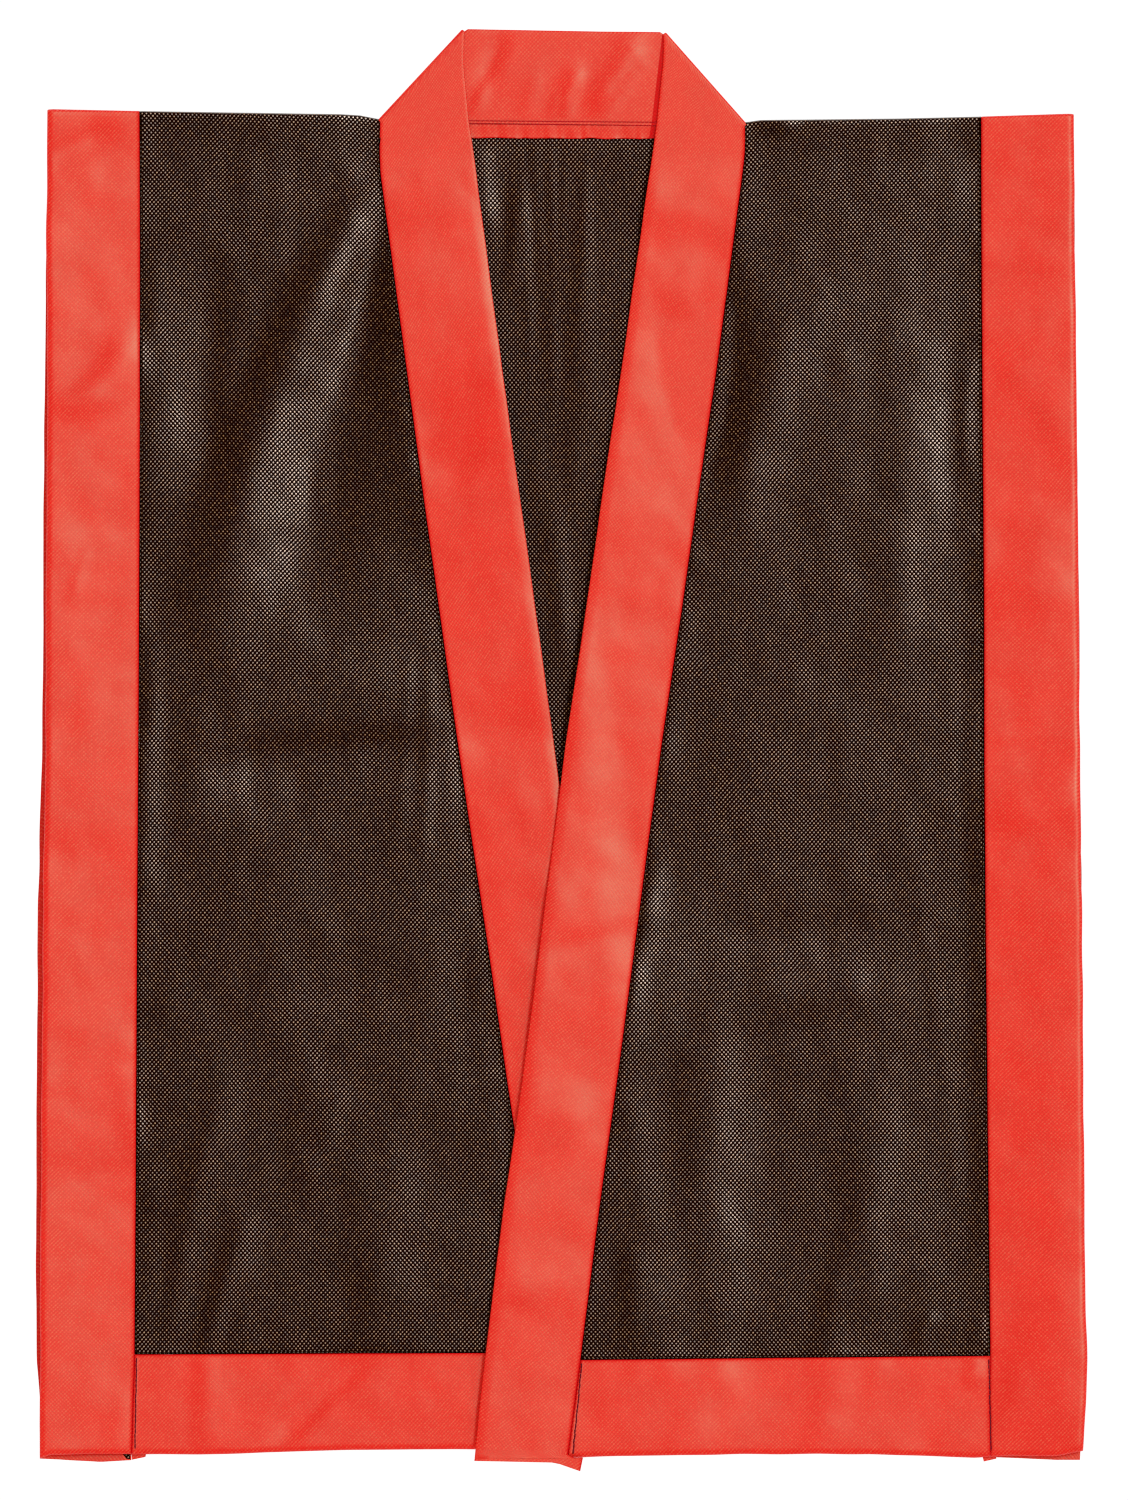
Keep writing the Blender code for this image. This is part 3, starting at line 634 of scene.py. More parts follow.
def threadMaterial(name, colour, roughness):
    # its colour lightened and darkened along fine strands
    material, tree, shader = newMaterial(name)
    where = node(tree, "ShaderNodeTexCoord").outputs["Object"]
    shade = ranged(tree, noise(tree, where, *surface["strandNoise"]), *surface["strandShades"])
    tree.links.new(shaded(tree, (*colour, 1.0), shade), shader.inputs["Base Color"])
    shader.inputs["Roughness"].default_value = roughness
    shader.inputs["Specular IOR Level"].default_value = surface["strandShine"]
    return material


blackMaterial = clothMaterial("blackSpunbond", blackCloth)
insideMaterial = clothMaterial("blackSpunbondInside", {**blackCloth, "shine": blackCloth["insideShine"]})
redMaterial = clothMaterial("redSpunbond", redCloth)
threads = {
    "maroon": threadMaterial("maroonThread", (0.50, 0.004, 0.010), 0.6),
    "dark": threadMaterial("darkThread", (0.15, 0.001, 0.010), 0.6),
    # pale, a painted glint on the seam stitches
    "pale": threadMaterial("paleThreadPaintedGlint", (0.26, 0.20, 0.16), 0.5),
}
print("materials made")


# how far the dots of a piece are shifted, so that they don't run on from one piece to the next
dotShift = {"back": (0.9, 0.4), "hem": (0.7, 1.3), "allowance": (0.3, 0.8), "tab": (0.2, 0.6)}

# fronts

fronts = {
    "foldLeg": 1.2,  # how far the cloth comes down behind the shoulder fold
    "foldDepth": 0.4,  # of the shoulder fold, as a share of half its height
    "underCollar": 2.0,  # how far the cloth is tucked under the collar by the neck
    "tuckFrom": 345.0,
    "tuckRamp": 12.0,
    "acrossLength": 190.0,
    "upLength": 712.0,
}


def gridBetween(left, right, low, high, acrossShares, upShares):
    # x and y between two long edges, given by height, and two lines across them
    def whereColumnsCross(line):
        middle = line(np.zeros(1))
        return line(mix(left(middle), right(middle), acrossShares))

    y = mix(whereColumnsCross(low), whereColumnsCross(high), upShares[:, None])
    return mix(left(y), right(y), acrossShares), y


def apart(left, right):
    # two seams, each half a gap further in
    return lambda y: left(y) + halfSeam, lambda y: right(y) - halfSeam


def panelEdges(side):
    # a front's left and right seam, tucked in under the collar by the neck
    sideSeam = lambda y: bodyEdge("seam" + side.title(), y)
    tuck = fronts["underCollar"] * (1.0 if side == "left" else -1.0)
    collarSeam = lambda y: collarEdge(side + "Seam", y) + tuck * ease((y - fronts["tuckFrom"]) / fronts["tuckRamp"])
    left, right = (sideSeam, collarSeam) if side == "left" else (collarSeam, sideSeam)
    return apart(left, right)


def backEdges():
    # the back's left and right seam
    return apart(lambda y: bodyEdge("seamLeft", y), lambda y: bodyEdge("seamRight", y))


def shoulderRadius(side, x):
    # half the height of the layers there, flattened
    return frontTop(side, x, alongLine(shoulderLine, x)) / 2.0 * fronts["foldDepth"]


def shoulderEnd(side):
    # where a front stops and its fold begins
    return lambda x: alongLine(shoulderLine, x) - shoulderRadius(side, x)


def standUp(x, y, z):
    # a grid of points from its three coordinates
    return np.stack((x, y, np.broadcast_to(z, x.shape)), -1)


def makeFront(side):
    # front panel: up from the hem seam, round the shoulder fold and a short way down the back
    left, right = panelEdges(side)
    seam = lambda x: alongLine(hemSeam[side], x) + halfSeam
    acrossShares, upShares = shares(fronts["acrossLength"], True, True), shares(fronts["upLength"], True)
    x, y = gridBetween(left, right, seam, shoulderEnd(side), acrossShares, upShares)
    fromSide = np.minimum(x - left(y), right(y) - x)
    fromHem = y - seam(x)
    z = frontTop(side, x, y) + seamStep(x - left(y), right(y) - x) - seamDip(fromHem)
    front = standUp(x, y, z)
    fold = overFold(front[-1], np.array((0.0, 1.0)), 0.0, leg=fronts["foldLeg"], flat=fronts["foldDepth"])
    grid = np.concatenate((front, fold))
    run = arcLength(grid)
    distance = np.concatenate((np.minimum(fromSide, fromHem), np.repeat(fromSide[-1:], len(fold), axis=0)))
    uv = np.stack((grid[..., 0], run + grid[0, :, 1]), -1)
    piece = closedCloth("bodyFront" + side.title(), grid, uv, blackMaterial, distance)
    return finished(piece, "black_nonwoven", "body_front_" + side)


bodyFrontLeft = makeFront("left")
bodyFrontRight = makeFront("right")
print("fronts made")


# back, with what shows of it in the V of the neck

back = {
    "neckEdge": 356.5,
    "neckFrom": -105.5,
    "neckTo": 107.0,
    "acrossLines": ((133.0, 8.0), (183.0, 3.4), (305.0, 1.5), (355.0, 3.4), (486.0, 8.0)),  # end and step
    "upLines": ((330.0, 8.0), (712.0, 2.6)),
    "raise": 0.9,  # the cloth stands off the table a little inside the V
    # the V: half its width, its foot and its top, each with the run over which the raise begins
    "halfWidth": (118.0, 30.0),
    "foot": (-60.0, 60.0),
    "top": (362.0, 22.0),
    "fineRipple": (7.0, 40.0, 0.12),  # across, along, height
    # wrinkles in the V, as the folds above
    "folds": (
        (-24, 350, -19, 210, 2, 2.6, 3.4, 0.2), (-15, 352, -9, 262, -1, 2.2, 2.8, 0.16),
        (-6, 350, -4, 190, 1, 2.6, 4, 0.24), (3, 352, 1, 240, -1, 2.2, 3, 0.18), (14, 350, 9, 225, 1, 3, 3.6, 0.18),
        (-32, 330, -24, 262, 0, 8, 9, -0.7), (16, 320, 8, 150, 2, 14, 10, 0.5), (-8, 160, 2, 40, 1, 8, 6, 0.5),
        (-50, 352, -46, 296, 0, 9, 9, 1.2), (-25, 325, -27, 262, 0, 6, 6, 1.1),
    ),
}


def backTop(x):
    # the back ends behind the shoulder folds, and between them at the neck's edge
    radius = np.where(x < 0.0, shoulderRadius("left", x), shoulderRadius("right", x))
    top = alongLine(shoulderLine, x) - radius - fronts["foldLeg"]
    return np.where((x > back["neckFrom"]) & (x < back["neckTo"]), back["neckEdge"], top)


def linesThrough(*runs):
    # shares along a length from runs of (end, step)
    places = [0.0]
    for end, step in runs:
        count = max(round((end - places[-1]) / step), 1)
        places.extend(np.linspace(places[-1], end, count + 1)[1:])
    return np.array(places) / places[-1]


def backHeight(x, y):
    # flat, with a raise, wrinkles and ripples where it shows in the V
    (half, sideRun), (foot, footRun), (top, topRun) = back["halfWidth"], back["foot"], back["top"]
    inside = ease((half - np.abs(x)) / sideRun) * ease((y - foot) / footRun) * ease((top - y) / topRun)
    across, along, height = back["fineRipple"]
    shape = back["raise"] + foldsAt(back["folds"], x, y) + height * softNoise(x, y, across, along, 31)
    return softFloor(shape) * inside


def makeBack():
    # from the hem seam up to the neck's edge and the shoulder folds
    seam = lambda x: alongLine(hemSeam["back"], x) + halfSeam
    lines = (linesThrough(*back[way]) for way in ("acrossLines", "upLines"))
    x, y = gridBetween(*backEdges(), seam, backTop, *lines)
    grid = standUp(x, y, backHeight(x, y))
    piece = closedCloth("bodyBack", grid, grid[..., :2] + dotShift["back"], insideMaterial, flip=True)
    return finished(piece, "black_nonwoven", "body_back")


bodyBack = makeBack()
print("back made")


# side borders, over the shoulders in one

borders = {
    "width": 54.0,
    "edgeRadius": 3.8,  # the outer edge is a soft fold
    "edgeDrop": 2.7,
    "waver": 0.35,  # how far a long edge strays from straight
    "waverLength": 23.0,
    "hemWaver": 0.25,
    "hemWaverLength": (17.0, 19.0),  # in front, behind
    "length": 772.0,
    "underStep": 5.0,
}


def edgeDrop(distance):
    # a quarter of an oval down at an outer edge
    inward = np.clip(distance / borders["edgeRadius"], 0.0, 1.0)
    return borders["edgeDrop"] * (1.0 - np.sqrt(1.0 - (1.0 - inward) ** 2))


def makeSideBand(side):
    # up the front, round the shoulder in half an oval and down the back
    sign = -1.0 if side == "left" else 1.0
    seam = lambda y: bodyEdge("seam" + side.title(), y) + sign * halfSeam
    outer = lambda y: bodyEdge("outer" + side.title(), y) + borders["waver"] * wavering(y, borders["waverLength"], 41)
    under = lambda y: bodyEdge("under" + side.title(), y) + borders["waver"] * wavering(y, borders["waverLength"], 43)
    frontEdges = (outer, seam) if side == "left" else (seam, outer)
    underEdges = (under, seam) if side == "left" else (seam, under)
    frontLength, backLength = borders["hemWaverLength"]
    hem = lambda x: alongLine(hemEdge[side], x) + borders["hemWaver"] * wavering(x, frontLength, 45)
    acrossShares = shares(borders["width"], True, True)
    x, y = gridBetween(*frontEdges, hem, shoulderEnd(side), acrossShares, shares(borders["length"], True))
    fromSeam, fromOuter = np.abs(x - seam(y)), np.abs(x - outer(y))
    z = frontTop(side, x, y) - sign * seamDip(fromSeam) - edgeDrop(fromOuter) - edgeDrop(y - hem(x))
    front = standUp(x, y, z)
    fold = overFold(front[-1], np.array((0.0, 1.0)), 0.0, flat=fronts["foldDepth"])
    backHem = lambda x: alongLine(hemEdge["back"], x) + borders["hemWaver"] * wavering(x, backLength, 47)
    upShares = shares(borders["length"], step=borders["underStep"])
    x, y = gridBetween(*underEdges, backHem, lambda x: fold[-1][:, 1], acrossShares, upShares)
    under = standUp(x, y, 0.0)[::-1][1:]
    grid = np.concatenate((front, fold, under))
    run = arcLength(grid)
    distance = np.concatenate((fromSeam, np.repeat(fromSeam[-1:], len(grid) - len(front), axis=0)))
    uv = np.stack((np.broadcast_to(grid[:1, :, 0], run.shape), run + grid[0, :, 1]), -1)
    piece = closedCloth("sideBand" + side.title(), grid, uv, redMaterial, distance)
    return finished(piece, "red_nonwoven", "side_band_" + side)


sideBandLeft = makeSideBand("left")
sideBandRight = makeSideBand("right")
print("side borders made")


# hem borders

hems = {
    "least": 0.75,  # a front hem stays above the one behind it
    "ridge": 0.3,  # along the left edge, where the seam's allowance lies below
    "ridgeFrom": 1.2,
    "ridgeReach": 0.6,
    "backCorner": 240.0,  # the back hem is straight between the corners
    "height": 56.0,
    "waverLength": 21.0,
    "lengths": {"left": 240.0, "right": 240.0, "back": 486.0},
}


def makeHemBand(side, step):
    # from the hem's edge up to its seam: in front on the height of the folds, behind flat
    front = side != "back"
    name = "hemBandFront" + side.title() if front else "hemBandBack"
    if front:
        left, right = panelEdges(side)
        edge = lambda x: alongLine(hemEdge[side], x) + borders["hemWaver"] * wavering(x, hems["waverLength"], 51)
    else:
        left, right = backEdges()
        edge = lambda x: alongLine(hemEdge["back"], np.clip(x, -hems["backCorner"], hems["backCorner"]))
    seam = lambda x: alongLine(hemSeam[side], x) - halfSeam
    lineShares = (shares(length, front, front, step) for length in (hems["lengths"][side], hems["height"]))
    x, y = gridBetween(left, right, edge, seam, *lineShares)
    fromSides, fromSeam = np.minimum(x - left(y), right(y) - x), seam(x) - y
    z = 0.0 * x
    if front:
        z = frontTop(side, x, y)
        z = z + seamStep(x - left(y), right(y) - x) + seamDip(fromSeam) - edgeDrop(y - edge(x))
        z = z + hems["ridge"] * np.exp(-(((x - left(y) - hems["ridgeFrom"]) / hems["ridgeReach"]) ** 2))
        z = hems["least"] + softFloor(z - hems["least"])
    grid = standUp(x, y, z)
    distance = np.minimum(fromSides, fromSeam)
    piece = closedCloth(name, grid, grid[..., :2] + dotShift["hem"], redMaterial, distance, flip=not front)
    return finished(piece, "red_nonwoven", "hem_band_front_" + side if front else "hem_band_back")


hemBandBack = makeHemBand("back", 5.0)
hemBandFrontLeft = makeHemBand("left", cloth["step"])
hemBandFrontRight = makeHemBand("right", cloth["step"])
print("hem borders made")


# collar: one strip, folded lengthwise, up one front, across the neck and down the other

collar = {
    "half": 0.85,  # half of its thickness
    "inset": 1.85,  # the mitre fold turns this far inside its outline
    "turnLength": 30.0,  # below the mitre fold the edges run into its ends over this length
    "foot": {"left": -402.0, "right": -407.4},
    "mitre": {"left": ((-105.5, 362.5), (-57.1, 414.6)), "right": ((106.9, 360.0), (60.1, 412.9))},
    "top": np.array(((-57.1, 414.6), (-23.7, 414.0), (22.3, 413.2), (60.1, 412.9))),
    "rightEnd": np.array(((-50.0, -408.6), (-3.6, -409.6), (10.8, -414.6))),
    "rightCorner": (12.4, -406.8),
    "width": 53.0,
    "length": 765.0,  # of one front
    "step": 2.0,  # between grid lines across it
    "neckLength": 200.0,
    "neckStep": 1.6,
    "underEdgeShadow": ((350.0, 413.0), (2.5, 1.3)),  # painted shadow beside the right front's free edge: two heights, and its width at each
    "waver": 0.3,
    "waverLength": 29.0,
    "edgeTurn": 2.6,  # the free edge comes down over this width
    "edgeDrop": 0.9,
    "edgeDropTop": (350.0, 40.0),  # but not above this height, and less from so far below it
    "neckFloor": 2.5,  # height of the strip's middle behind the neck
    "neckRipple": (30.0, 7.0, 0.12),
    "neckFade": (0.5, 4.0),  # streaks die away towards the fronts' free edges: from, over
    "neckRise": 6.0,  # and are full from one part in this many of the width
    # streaks across the back of the neck, as the folds above
    "neckFolds": (
        (-46, 382, -34, 411, 0, 6, 5.5, -1.1), (-50, 364, -43, 384, 0, 3.6, 4.2, 0.8),
        (-22, 364, -12, 388, 0, 4.5, 4.5, 0.5), (-7, 364, -2, 378, 0, 2.6, 2.6, 0.4),
        (0, 364, 11, 393, 0, 3.6, 6, 1.5, 0.2), (18, 366, 48, 409, 0, 6, 6.8, 2.5, 0.2),
        (-50, 388, 40, 386, 0, 11, 11, 0.5),
    ),
}


def mitreLine(side, inset):
    # one end of a mitre fold moved inward, the way along it, its length and the way out
    start, end = (np.array(point) for point in collar["mitre"][side])
    length = np.linalg.norm(end - start)
    direction = (end - start) / length
    outward = np.array((-direction[1], direction[0])) * (1.0 if side == "left" else -1.0)
    return start - outward * inset, direction, length, outward


def collarFrontRows(side, across):
    # centre surface of one front, from the hem up to the mitre fold
    start, direction, length, outward = mitreLine(side, collar["inset"])
    top = start + direction * (length * across)[:, None]
    up = linesThrough((collar["length"], cloth["step"]))[:, None]
    y = mix(collar["foot"][side], top[:, 1], up)
    x = mix(collarEdge(side + "Seam", y), collarEdge(side + "Free", y), across)
    free = collar["waver"] * wavering(y, collar["waverLength"], 61) * ease(3.0 * across - 2.0)  # its outer third
    x = mix(x + free, top[:, 0], ease(1.0 - (top[:, 1] - y) / collar["turnLength"]))
    if side == "right":
        endX = mix(collar["rightEnd"][-1, 0], collar["rightEnd"][0, 0], across)
        endY = alongLine(collar["rightEnd"], endX)
        cornerX, cornerY = (mix(corner, line[0, -1], across) for corner, line in zip(collar["rightCorner"], (x, y)))
        down = np.linspace(0.0, 1.0, 5)[:, None]
        x = np.concatenate((mix(endX, cornerX, down), x[:1] * 0.5 + cornerX * 0.5, x[1:]))
        y = np.concatenate((mix(endY, cornerY, down), y[:1] * 0.5 + cornerY * 0.5, y[1:]))
    fromFree = (1.0 - across) * collar["width"]
    dropTop, dropRamp = collar["edgeDropTop"]
    drop = collar["edgeDrop"] * np.exp(-((fromFree / collar["edgeTurn"]) ** 2)) * ease((dropTop - y) / dropRamp)
    z = cloth["frontFloor"] + rise(side, x, y) + collar["half"] - drop
    return standUp(x, y, z), outward


def underRightEdge(x, y):
    # distance from a narrow strip beside the right front's free edge, wider towards the seam, where a shadow is painted
    # on the neck and the allowance
    return collarEdge("rightFree", y) - x - np.interp(y, *collar["underEdgeShadow"])


def neckRows(across):
    # centre surface behind the neck, between the two mitre folds
    ends = []
    for side in ("left", "right"):
        start, direction, length, outward = mitreLine(side, collar["inset"])
        reach = length + collar["inset"] * outward[1] / direction[1]
        ends.append(start + direction * reach * across[:, None])
    way = linesThrough((collar["neckLength"], collar["neckStep"]))[1:-1, None, None]
    neck = mix(ends[0], ends[1], way)
    topLine = alongLine(collar["top"], neck[:, -1, 0]) - (alongLine(collar["top"], ends[0][-1, 0]) * (1 - way[:, 0, 0]))
    topLine = topLine - alongLine(collar["top"], ends[1][-1, 0]) * way[:, 0, 0]
    x, y = neck[..., 0], neck[..., 1] + topLine[:, None] * across
    acrossSize, alongSize, height = collar["neckRipple"]
    height = foldsAt(collar["neckFolds"], x, y) + height * softNoise(x + y, x - y, acrossSize, alongSize, 63)
    begin, ramp = collar["neckFade"]
    fade = ease((x - collarEdge("leftFree", y) - begin) / ramp) * ease((collarEdge("rightFree", y) - x - begin) / ramp)
    return standUp(x, y, collar["neckFloor"] + height * fade * ease(across * collar["neckRise"]))


def makeCollar():
    # one centre surface, up the left front, over the neck and down the right front, and the strip folded round it
    across = shares(collar["width"], True, False, collar["step"])
    leftRows, leftOut = collarFrontRows("left", across)
    rightRows, rightOut = collarFrontRows("right", across)
    leftFold = overFold(leftRows[-1], leftOut, collar["neckFloor"])
    rightFold = overFold(rightRows[-1], rightOut, collar["neckFloor"])
    centre = np.concatenate((leftRows, leftFold, neckRows(across), rightFold[::-1], rightRows[::-1]))
    strip = foldedStrip(centre, collar["half"])
    # the long edges turn down into the seam, but not behind the neck
    count, first, last = len(across), len(leftRows), len(centre) - len(rightRows)
    fromSeam = np.broadcast_to(across * collar["width"], centre.shape[:2])
    strip[:first, :count, 2] -= seamDip(fromSeam[:first])
    strip[last:, :count, 2] += seamDip(fromSeam[last:])
    distance = np.full(strip.shape[:2], cloth["noSeam"])
    distance[:first, :count], distance[last:, :count] = fromSeam[:first], fromSeam[last:]
    neck = slice(first + len(leftFold), last - len(rightFold))
    # behind the neck the shade is a painted shadow beside the right front's free edge
    distance[neck] = underRightEdge(strip[neck, :, 0], strip[neck, :, 1])
    along = arcLength(centre)[:, :1]
    wayOn = np.gradient(centre[:, 0], axis=0)
    wayOn = wayOn / np.linalg.norm(wayOn, axis=-1, keepdims=True)
    slide = np.sum((centre - centre[:, :1]) * wayOn[:, None], -1)
    beyond = np.repeat(slide[:, -1:], strip.shape[1] - count, axis=1)
    uv = stripUv(strip, along + np.concatenate((slide, beyond), axis=1))
    uv[first:last] = strip[first:last, :, :2]
    piece = closedCloth("collar", strip, uv, redMaterial, distance)
    return finished(piece, "red_nonwoven", "collar_front_left", "collar_back", "collar_front_right")


collarStrip = makeCollar()
print("collar made")


# what is sewn: the allowance below the neck seam, and the stitches

sewing = {
    "allowanceTop": ((-103.0, 361.2), (104.2, 359.0)),
    "allowanceLow": ((-99.0, 352.3), (100.5, 351.3)),
    "allowanceHeights": (2.75, 2.1),
    "allowanceWidth": 9.0,
    "allowanceWaver": ((9.0, 0.35), (3.0, 0.15)),  # length and height of its edge's waves
    "puckers": ((2.4, 14.0, 0.35), (6.0, 20.0, 0.2)),  # across, along, height
    "stitchRows": (((-102.5, 362.3), (104.0, 360.6)), ((-101.5, 360.6), (103.0, 358.7))),
    "stitchPitch": 2.6,
    "stitchLong": 2.95,
    "stitchHeights": (3.55, 3.0),
    "stitchStray": (0.06, 0.075),  # how far a stitch moves along its row, and its ends turn up or down
    "stitchThread": (0.3, 0.08),  # radius, and how high it arches
    # side and the two ends of each thread across the front hem
    "hemThreads": (
        ("left", (-244.2, -349.3), (-245.2, -403.8)),
        ("right", (245.9, -350.2), (247.0, -405.3)),
        ("right", (11.8, -352.4), (6.5, -406.2)),
    ),
    "hemStitch": (2.9, 3.3, 0.42),  # from one to the next, length and radius
    "hemArch": 0.05,
    "hemStray": 0.14,
    "hemLift": 0.12,  # off the cloth
    "sideStitchPitch": 2.6,
    "sideInset": 0.75,  # from the seam
    "sideTop": 352.0,
    "lowStitchPitch": 2.4,  # along the seam above the hem
    "lowInset": 0.85,
    "lowDepth": 0.7,  # they lie as deep as the cloth does this far from the seam
    "endMargin": 3.0,  # from the end of a seam to its first stitch
    "halfStitch": 0.5,
    "sideStray": 0.25,
    "sideSlant": 0.1,
    "seamThread": (0.13, 0.05),  # radius, and how high it arches
    "threadLift": 0.02,
    # ends of the hem's allowances, which peep out below the front hem: cloth, four corners from the upper left
    # clockwise, width, length and area in metres
    "tabs": {
        "hemTabLeft": (
            "red", ((-247.4, -396.5), (-236.9, -396.5), (-239.2, -406.6), (-247, -408.2)), (0.0105, 0.011), 0.000100
        ),
        "hemTabBlack": (
            "black", ((-258.5, -396.5), (-248, -396.5), (-248, -408), (-250.2, -407.6)), (0.0105, 0.0115), 0.000073
        ),
        "hemTabRight": ("red", ((240, -397), (251, -397), (250.2, -407.6), (243, -409.2)), (0.011, 0.0115), 0.000103),
    },
    "tabRise": 2.6,  # they come up to this many walls at the top
    "tabSwell": 0.3,
}


def makeAllowance():
    # a flat strip of cloth with small puckers at the seam above it
    top, low = (np.array(line) for line in (sewing["allowanceTop"], sewing["allowanceLow"]))
    along = np.linspace(0.0, 1.0, 190)[None, :, None]
    down = np.linspace(0.0, 1.0, 13)[::-1, None, None]
    points = mix(mix(top[0], top[1], along), mix(low[0], low[1], along), down)
    x, y, down = points[..., 0], points[..., 1], down[..., 0]
    (long, high), (short, low) = sewing["allowanceWaver"]
    y = y + (high * wavering(x, long, 71) + low * wavering(x, short, 72)) * down
    z = mix(*sewing["allowanceHeights"], ease(down)) + ripplesAt(sewing["puckers"], x, y, 73) * (0.4 + 0.6 * down)
    grid = standUp(x, y, z)
    # painted shade beside the neck seam, and the painted shadow beside the right front's free edge
    distance = np.minimum((1.0 - down) * sewing["allowanceWidth"], underRightEdge(x, y))
    piece = closedCloth("neckAllowance", grid, grid[..., :2] + dotShift["allowance"], redMaterial, distance)
    return riding(piece)


def stitchMesh(name, starts, ends, thread, radius, lift, slotName):
    # short rounded threads, each a six-sided tube of five rings between its two ends, arched in the middle
    starts, ends = np.concatenate(starts), np.concatenate(ends)
    ring = np.linspace(0.0, 2.0 * math.pi, 7)[:-1]
    stops = np.array((0.0, 0.15, 0.5, 0.85, 1.0))
    fat = np.array((0.25, 0.85, 1.0, 0.85, 0.25)) * radius
    arch = np.array((-0.8, 0.2, 1.0, 0.2, -0.8)) * lift
    way = ends - starts
    way = way / np.linalg.norm(way, axis=-1, keepdims=True)
    aside = np.stack((-way[:, 1], way[:, 0], 0.0 * way[:, 0]), -1)
    aside = aside / np.linalg.norm(aside, axis=-1, keepdims=True)
    upward = np.cross(way, aside)
    middle = starts[:, None] + (ends - starts)[:, None] * stops[None, :, None]
    middle[..., 2] += arch
    around = np.cos(ring)[:, None] * aside[:, None, None] + np.sin(ring)[:, None] * upward[:, None, None]
    points = middle[:, :, None] + around * fat[None, :, None, None]
    count, rings, sides = points.shape[:3]
    index = np.arange(count * rings * sides).reshape(count, rings, sides)
    turned = np.roll(index, -1, axis=2)
    faces = np.stack((index[:, :-1], turned[:, :-1], turned[:, 1:], index[:, 1:]), -1).reshape(-1, 4).tolist()
    faces += index[:, 0, ::-1].tolist() + index[:, -1].tolist()
    mesh = bpy.data.meshes.new(name)
    mesh.from_pydata((points.reshape(-1, 3) * mm).tolist(), [], faces)
    mesh.polygons.foreach_set("use_smooth", np.ones(len(mesh.polygons), bool))
    mesh.materials.append(threads[thread])
    mesh.update()
    return riding(placed(name, mesh))


def makeNeckStitches():
    # two rows of level threads, one pitch apart
    starts, ends = [], []
    for number, line in enumerate(sewing["stitchRows"]):
        first, last = (np.array(point) for point in line)
        count = int(np.linalg.norm(last - first) / sewing["stitchPitch"])
        place = (np.arange(count) + 0.5 * number)[:, None] / count
        along, turn = sewing["stitchStray"]
        stray = np.random.default_rng(81 + number).uniform(-1.0, 1.0, (count, 1))
        middle = first + (last - first) * place
        half = (last - first) / np.linalg.norm(last - first) * sewing["stitchLong"] / 2.0
        height = np.full((count, 1), sewing["stitchHeights"][number])
        starts.append(np.hstack((middle - half, height)) + stray * (along, turn, 0.0))
        ends.append(np.hstack((middle + half, height)) + stray * (along, -turn, 0.0))
    return stitchMesh("neckStitches", starts, ends, "maroon", *sewing["stitchThread"], "red_nonwoven")


def makeSeamStitches():
    # the thread shows as a fine row of dots along each seam of the fronts; their pale colour is a painted glint
    starts, ends = [], []
    for side in ("left", "right"):
        left, right = panelEdges(side)
        low = hemSeam[side][0, 1] + sewing["endMargin"]
        for edge, inward in ((left, 1.0), (right, -1.0)):
            y = np.arange(low, sewing["sideTop"], sewing["sideStitchPitch"])
            stray = np.random.default_rng(int(91 + inward)).uniform(-1.0, 1.0, y.shape) * sewing["sideStray"]
            x = edge(y) + inward * sewing["sideInset"]
            z = frontTop(side, x, y) - inward * seamDip(sewing["sideInset"]) + sewing["threadLift"]
            starts.append(np.stack((x, y + stray - sewing["halfStitch"], z), -1))
            ends.append(np.stack((x + inward * sewing["sideSlant"], y + stray + sewing["halfStitch"], z), -1))
        seam = hemSeam[side]
        x = np.arange(seam[0, 0] + sewing["endMargin"], seam[-1, 0] - sewing["endMargin"], sewing["lowStitchPitch"])
        y = alongLine(seam, x) + sewing["lowInset"]
        z = frontTop(side, x, y) - seamDip(sewing["lowDepth"]) + sewing["threadLift"]
        starts.append(np.stack((x - sewing["halfStitch"], y, z), -1))
        ends.append(np.stack((x + sewing["halfStitch"], y, z), -1))
    return stitchMesh("seamStitches", starts, ends, "pale", *sewing["seamThread"], "black_nonwoven")


def makeHemStitches():
    # a dark thread beside each end of the front hem borders
    starts, ends = [], []
    pitch, long, radius = sewing["hemStitch"]
    for number, (side, first, last) in enumerate(sewing["hemThreads"]):
        first, last = np.array(first), np.array(last)
        way = (last - first) / np.linalg.norm(last - first)
        stray = np.random.default_rng(95 + number).uniform(-1.0, 1.0, (30, 1)) * (way[1], -way[0])
        place = np.arange(0.0, np.linalg.norm(last - first) - long, pitch)[:, None]
        start = first + way * place + stray[: len(place)] * sewing["hemStray"]
        end = start + way * long
        starts.append(np.column_stack((start, frontTop(side, *start.T) + sewing["hemLift"])))
        ends.append(np.column_stack((end, frontTop(side, *end.T) + sewing["hemLift"])))
    return stitchMesh("hemStitches", starts, ends, "dark", radius, sewing["hemArch"], "red_nonwoven")


def makeTab(name, colour, corners, cut, area):
    # a corner of cloth that peeps out below a hem: its four corners, swelling a little between them
    corners = np.array(corners)
    u, v = np.meshgrid(np.linspace(0.0, 1.0, 9), np.linspace(0.0, 1.0, 9))
    u, v = u[..., None], v[..., None]
    place = mix(mix(corners[3], corners[2], u), mix(corners[0], corners[1], u), v)
    z = mix(cloth["wall"], sewing["tabRise"] * cloth["wall"], v[..., 0])
    z = z + sewing["tabSwell"] * np.sin(math.pi * u[..., 0]) * np.sin(math.pi * v[..., 0])
    grid = standUp(place[..., 0], place[..., 1], z)
    material = blackMaterial if colour == "black" else redMaterial
    piece = riding(closedCloth(name, grid, grid[..., :2] + dotShift["tab"], material))


neckAllowance = makeAllowance()
neckStitches = makeNeckStitches()
seamStitches = makeSeamStitches()
hemStitches = makeHemStitches()
for name, tab in sewing["tabs"].items():
    makeTab(name, *tab)
print("sewing made")


# floor, light and camera

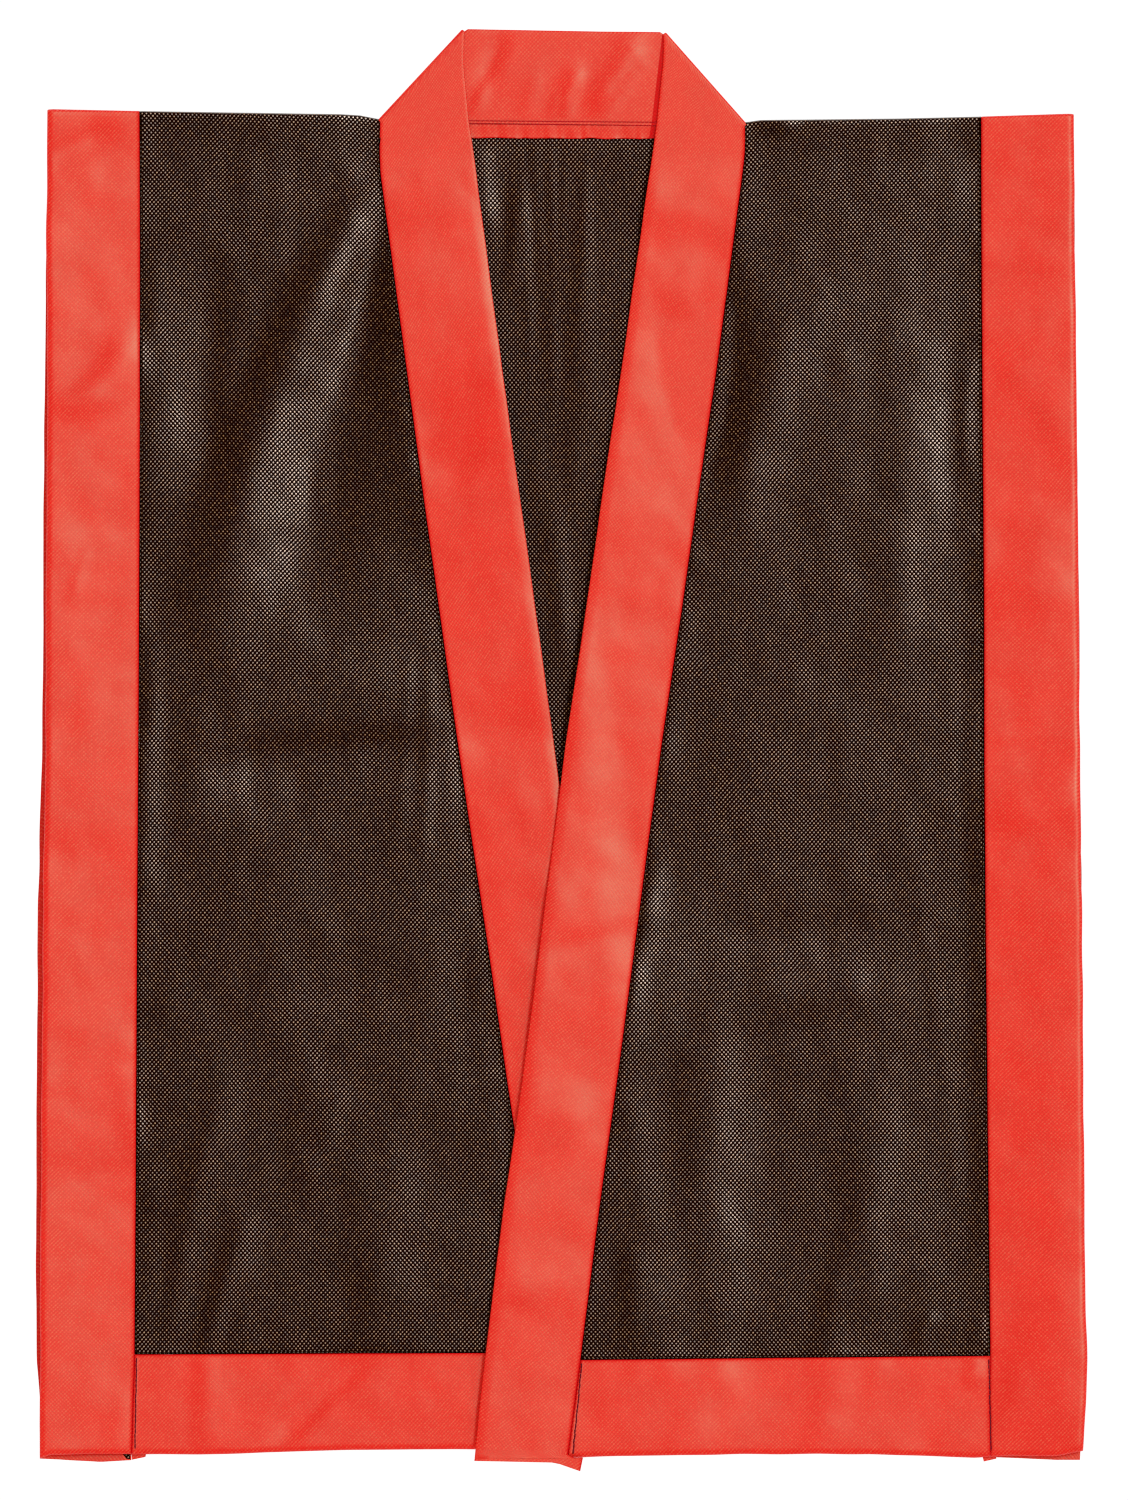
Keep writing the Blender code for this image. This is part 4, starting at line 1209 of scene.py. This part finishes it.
studio = {
    "floor": (0.12, 0.12, 0.12),
    "paperNoise": (300.0, 3.0),
    "paperShades": (0.985, 1.0),
    "paperRoughness": 0.9,
    "floorSize": 4.0,  # metres from its middle to each side
    "floorHeight": -0.3,
    "glow": 0.95,  # the floor gives off light as well, so that no shadow shows on it
    "mainPower": 480.0,
    "sheenPower": 7700.0,  # the same window as the shine sees it
    "mainFrom": (8.0, 4.64, 14.7),  # metres, as the two below
    "mainSize": 5.4,
    "clipEnd": 30.0,
    "sky": 0.875,
    "lens": 480.0,
    "sensor": 36.0,
    "centre": (1.55, 0.03),
    "frameHeight": 862.5,  # what the camera sees from top to bottom
    "planeHeight": 4.0,  # that height holds in a plane this far up
    "pixelFilter": 1.2,  # in pixels, so that the dots stay crisp
}


def makeFloor():
    # one square face of pale paper
    size, under = studio["floorSize"], studio["floorHeight"] * mm
    mesh = bpy.data.meshes.new("floor")
    corners = [(x, y, under) for x, y in ((-size, -size), (size, -size), (size, size), (-size, size))]
    mesh.from_pydata(corners, [], [(0, 1, 2, 3)])
    material, tree, shader = newMaterial("paperFloor")
    where = node(tree, "ShaderNodeTexCoord").outputs["Object"]
    shade = ranged(tree, noise(tree, where, *studio["paperNoise"]), *studio["paperShades"])
    tree.links.new(shaded(tree, (*studio["floor"], 1.0), shade), shader.inputs["Base Color"])
    shader.inputs["Roughness"].default_value = studio["paperRoughness"]
    shader.inputs["Specular IOR Level"].default_value = 0.0
    shades = node(tree, "ShaderNodeCombineColor", {0: shade, 1: shade, 2: shade}).outputs[0]
    tree.links.new(shades, shader.inputs["Emission Color"])
    shader.inputs["Emission Strength"].default_value = studio["glow"]
    mesh.materials.append(material)
    placed("floor", mesh)


def makeLight(name, power, shine):
    # a round lamp that points at the middle, and that either the shine or all else sees
    light = bpy.data.lights.new(name, "AREA")
    light.shape = "DISK"
    light.size = studio["mainSize"]
    light.energy = power
    lamp = placed(name, light)
    lamp.visible_glossy = shine
    lamp.visible_diffuse = not shine
    lamp.location = studio["mainFrom"]
    lamp.rotation_euler = (-Vector(studio["mainFrom"])).to_track_quat("-Z", "Y").to_euler()


makeFloor()
makeLight("window", studio["mainPower"], False)
makeLight("windowSheen", studio["sheenPower"], True)
# an even pale sky, which the shine doesn't show
world = bpy.data.worlds.new("room")
world.use_nodes = True
bpy.context.scene.world = world
world.cycles_visibility.glossy = False
room = world.node_tree
room.nodes["Background"].inputs["Strength"].default_value = studio["sky"]
room.nodes["Background"].inputs["Color"].default_value = (1.0, 1.0, 1.0, 1.0)

scene = bpy.context.scene
view = bpy.data.cameras.new("overhead")
view.lens = studio["lens"]
view.sensor_fit = "VERTICAL"
view.sensor_height = studio["sensor"]
view.clip_end = studio["clipEnd"]
scene.camera = placed("overhead", view)
distance = studio["lens"] * studio["frameHeight"] / studio["sensor"]
scene.camera.location = (studio["centre"][0] * mm, studio["centre"][1] * mm, distance * mm + studio["planeHeight"] * mm)
scene.view_settings.view_transform = "Standard"
scene.cycles.filter_width = studio["pixelFilter"]
print("stage made")
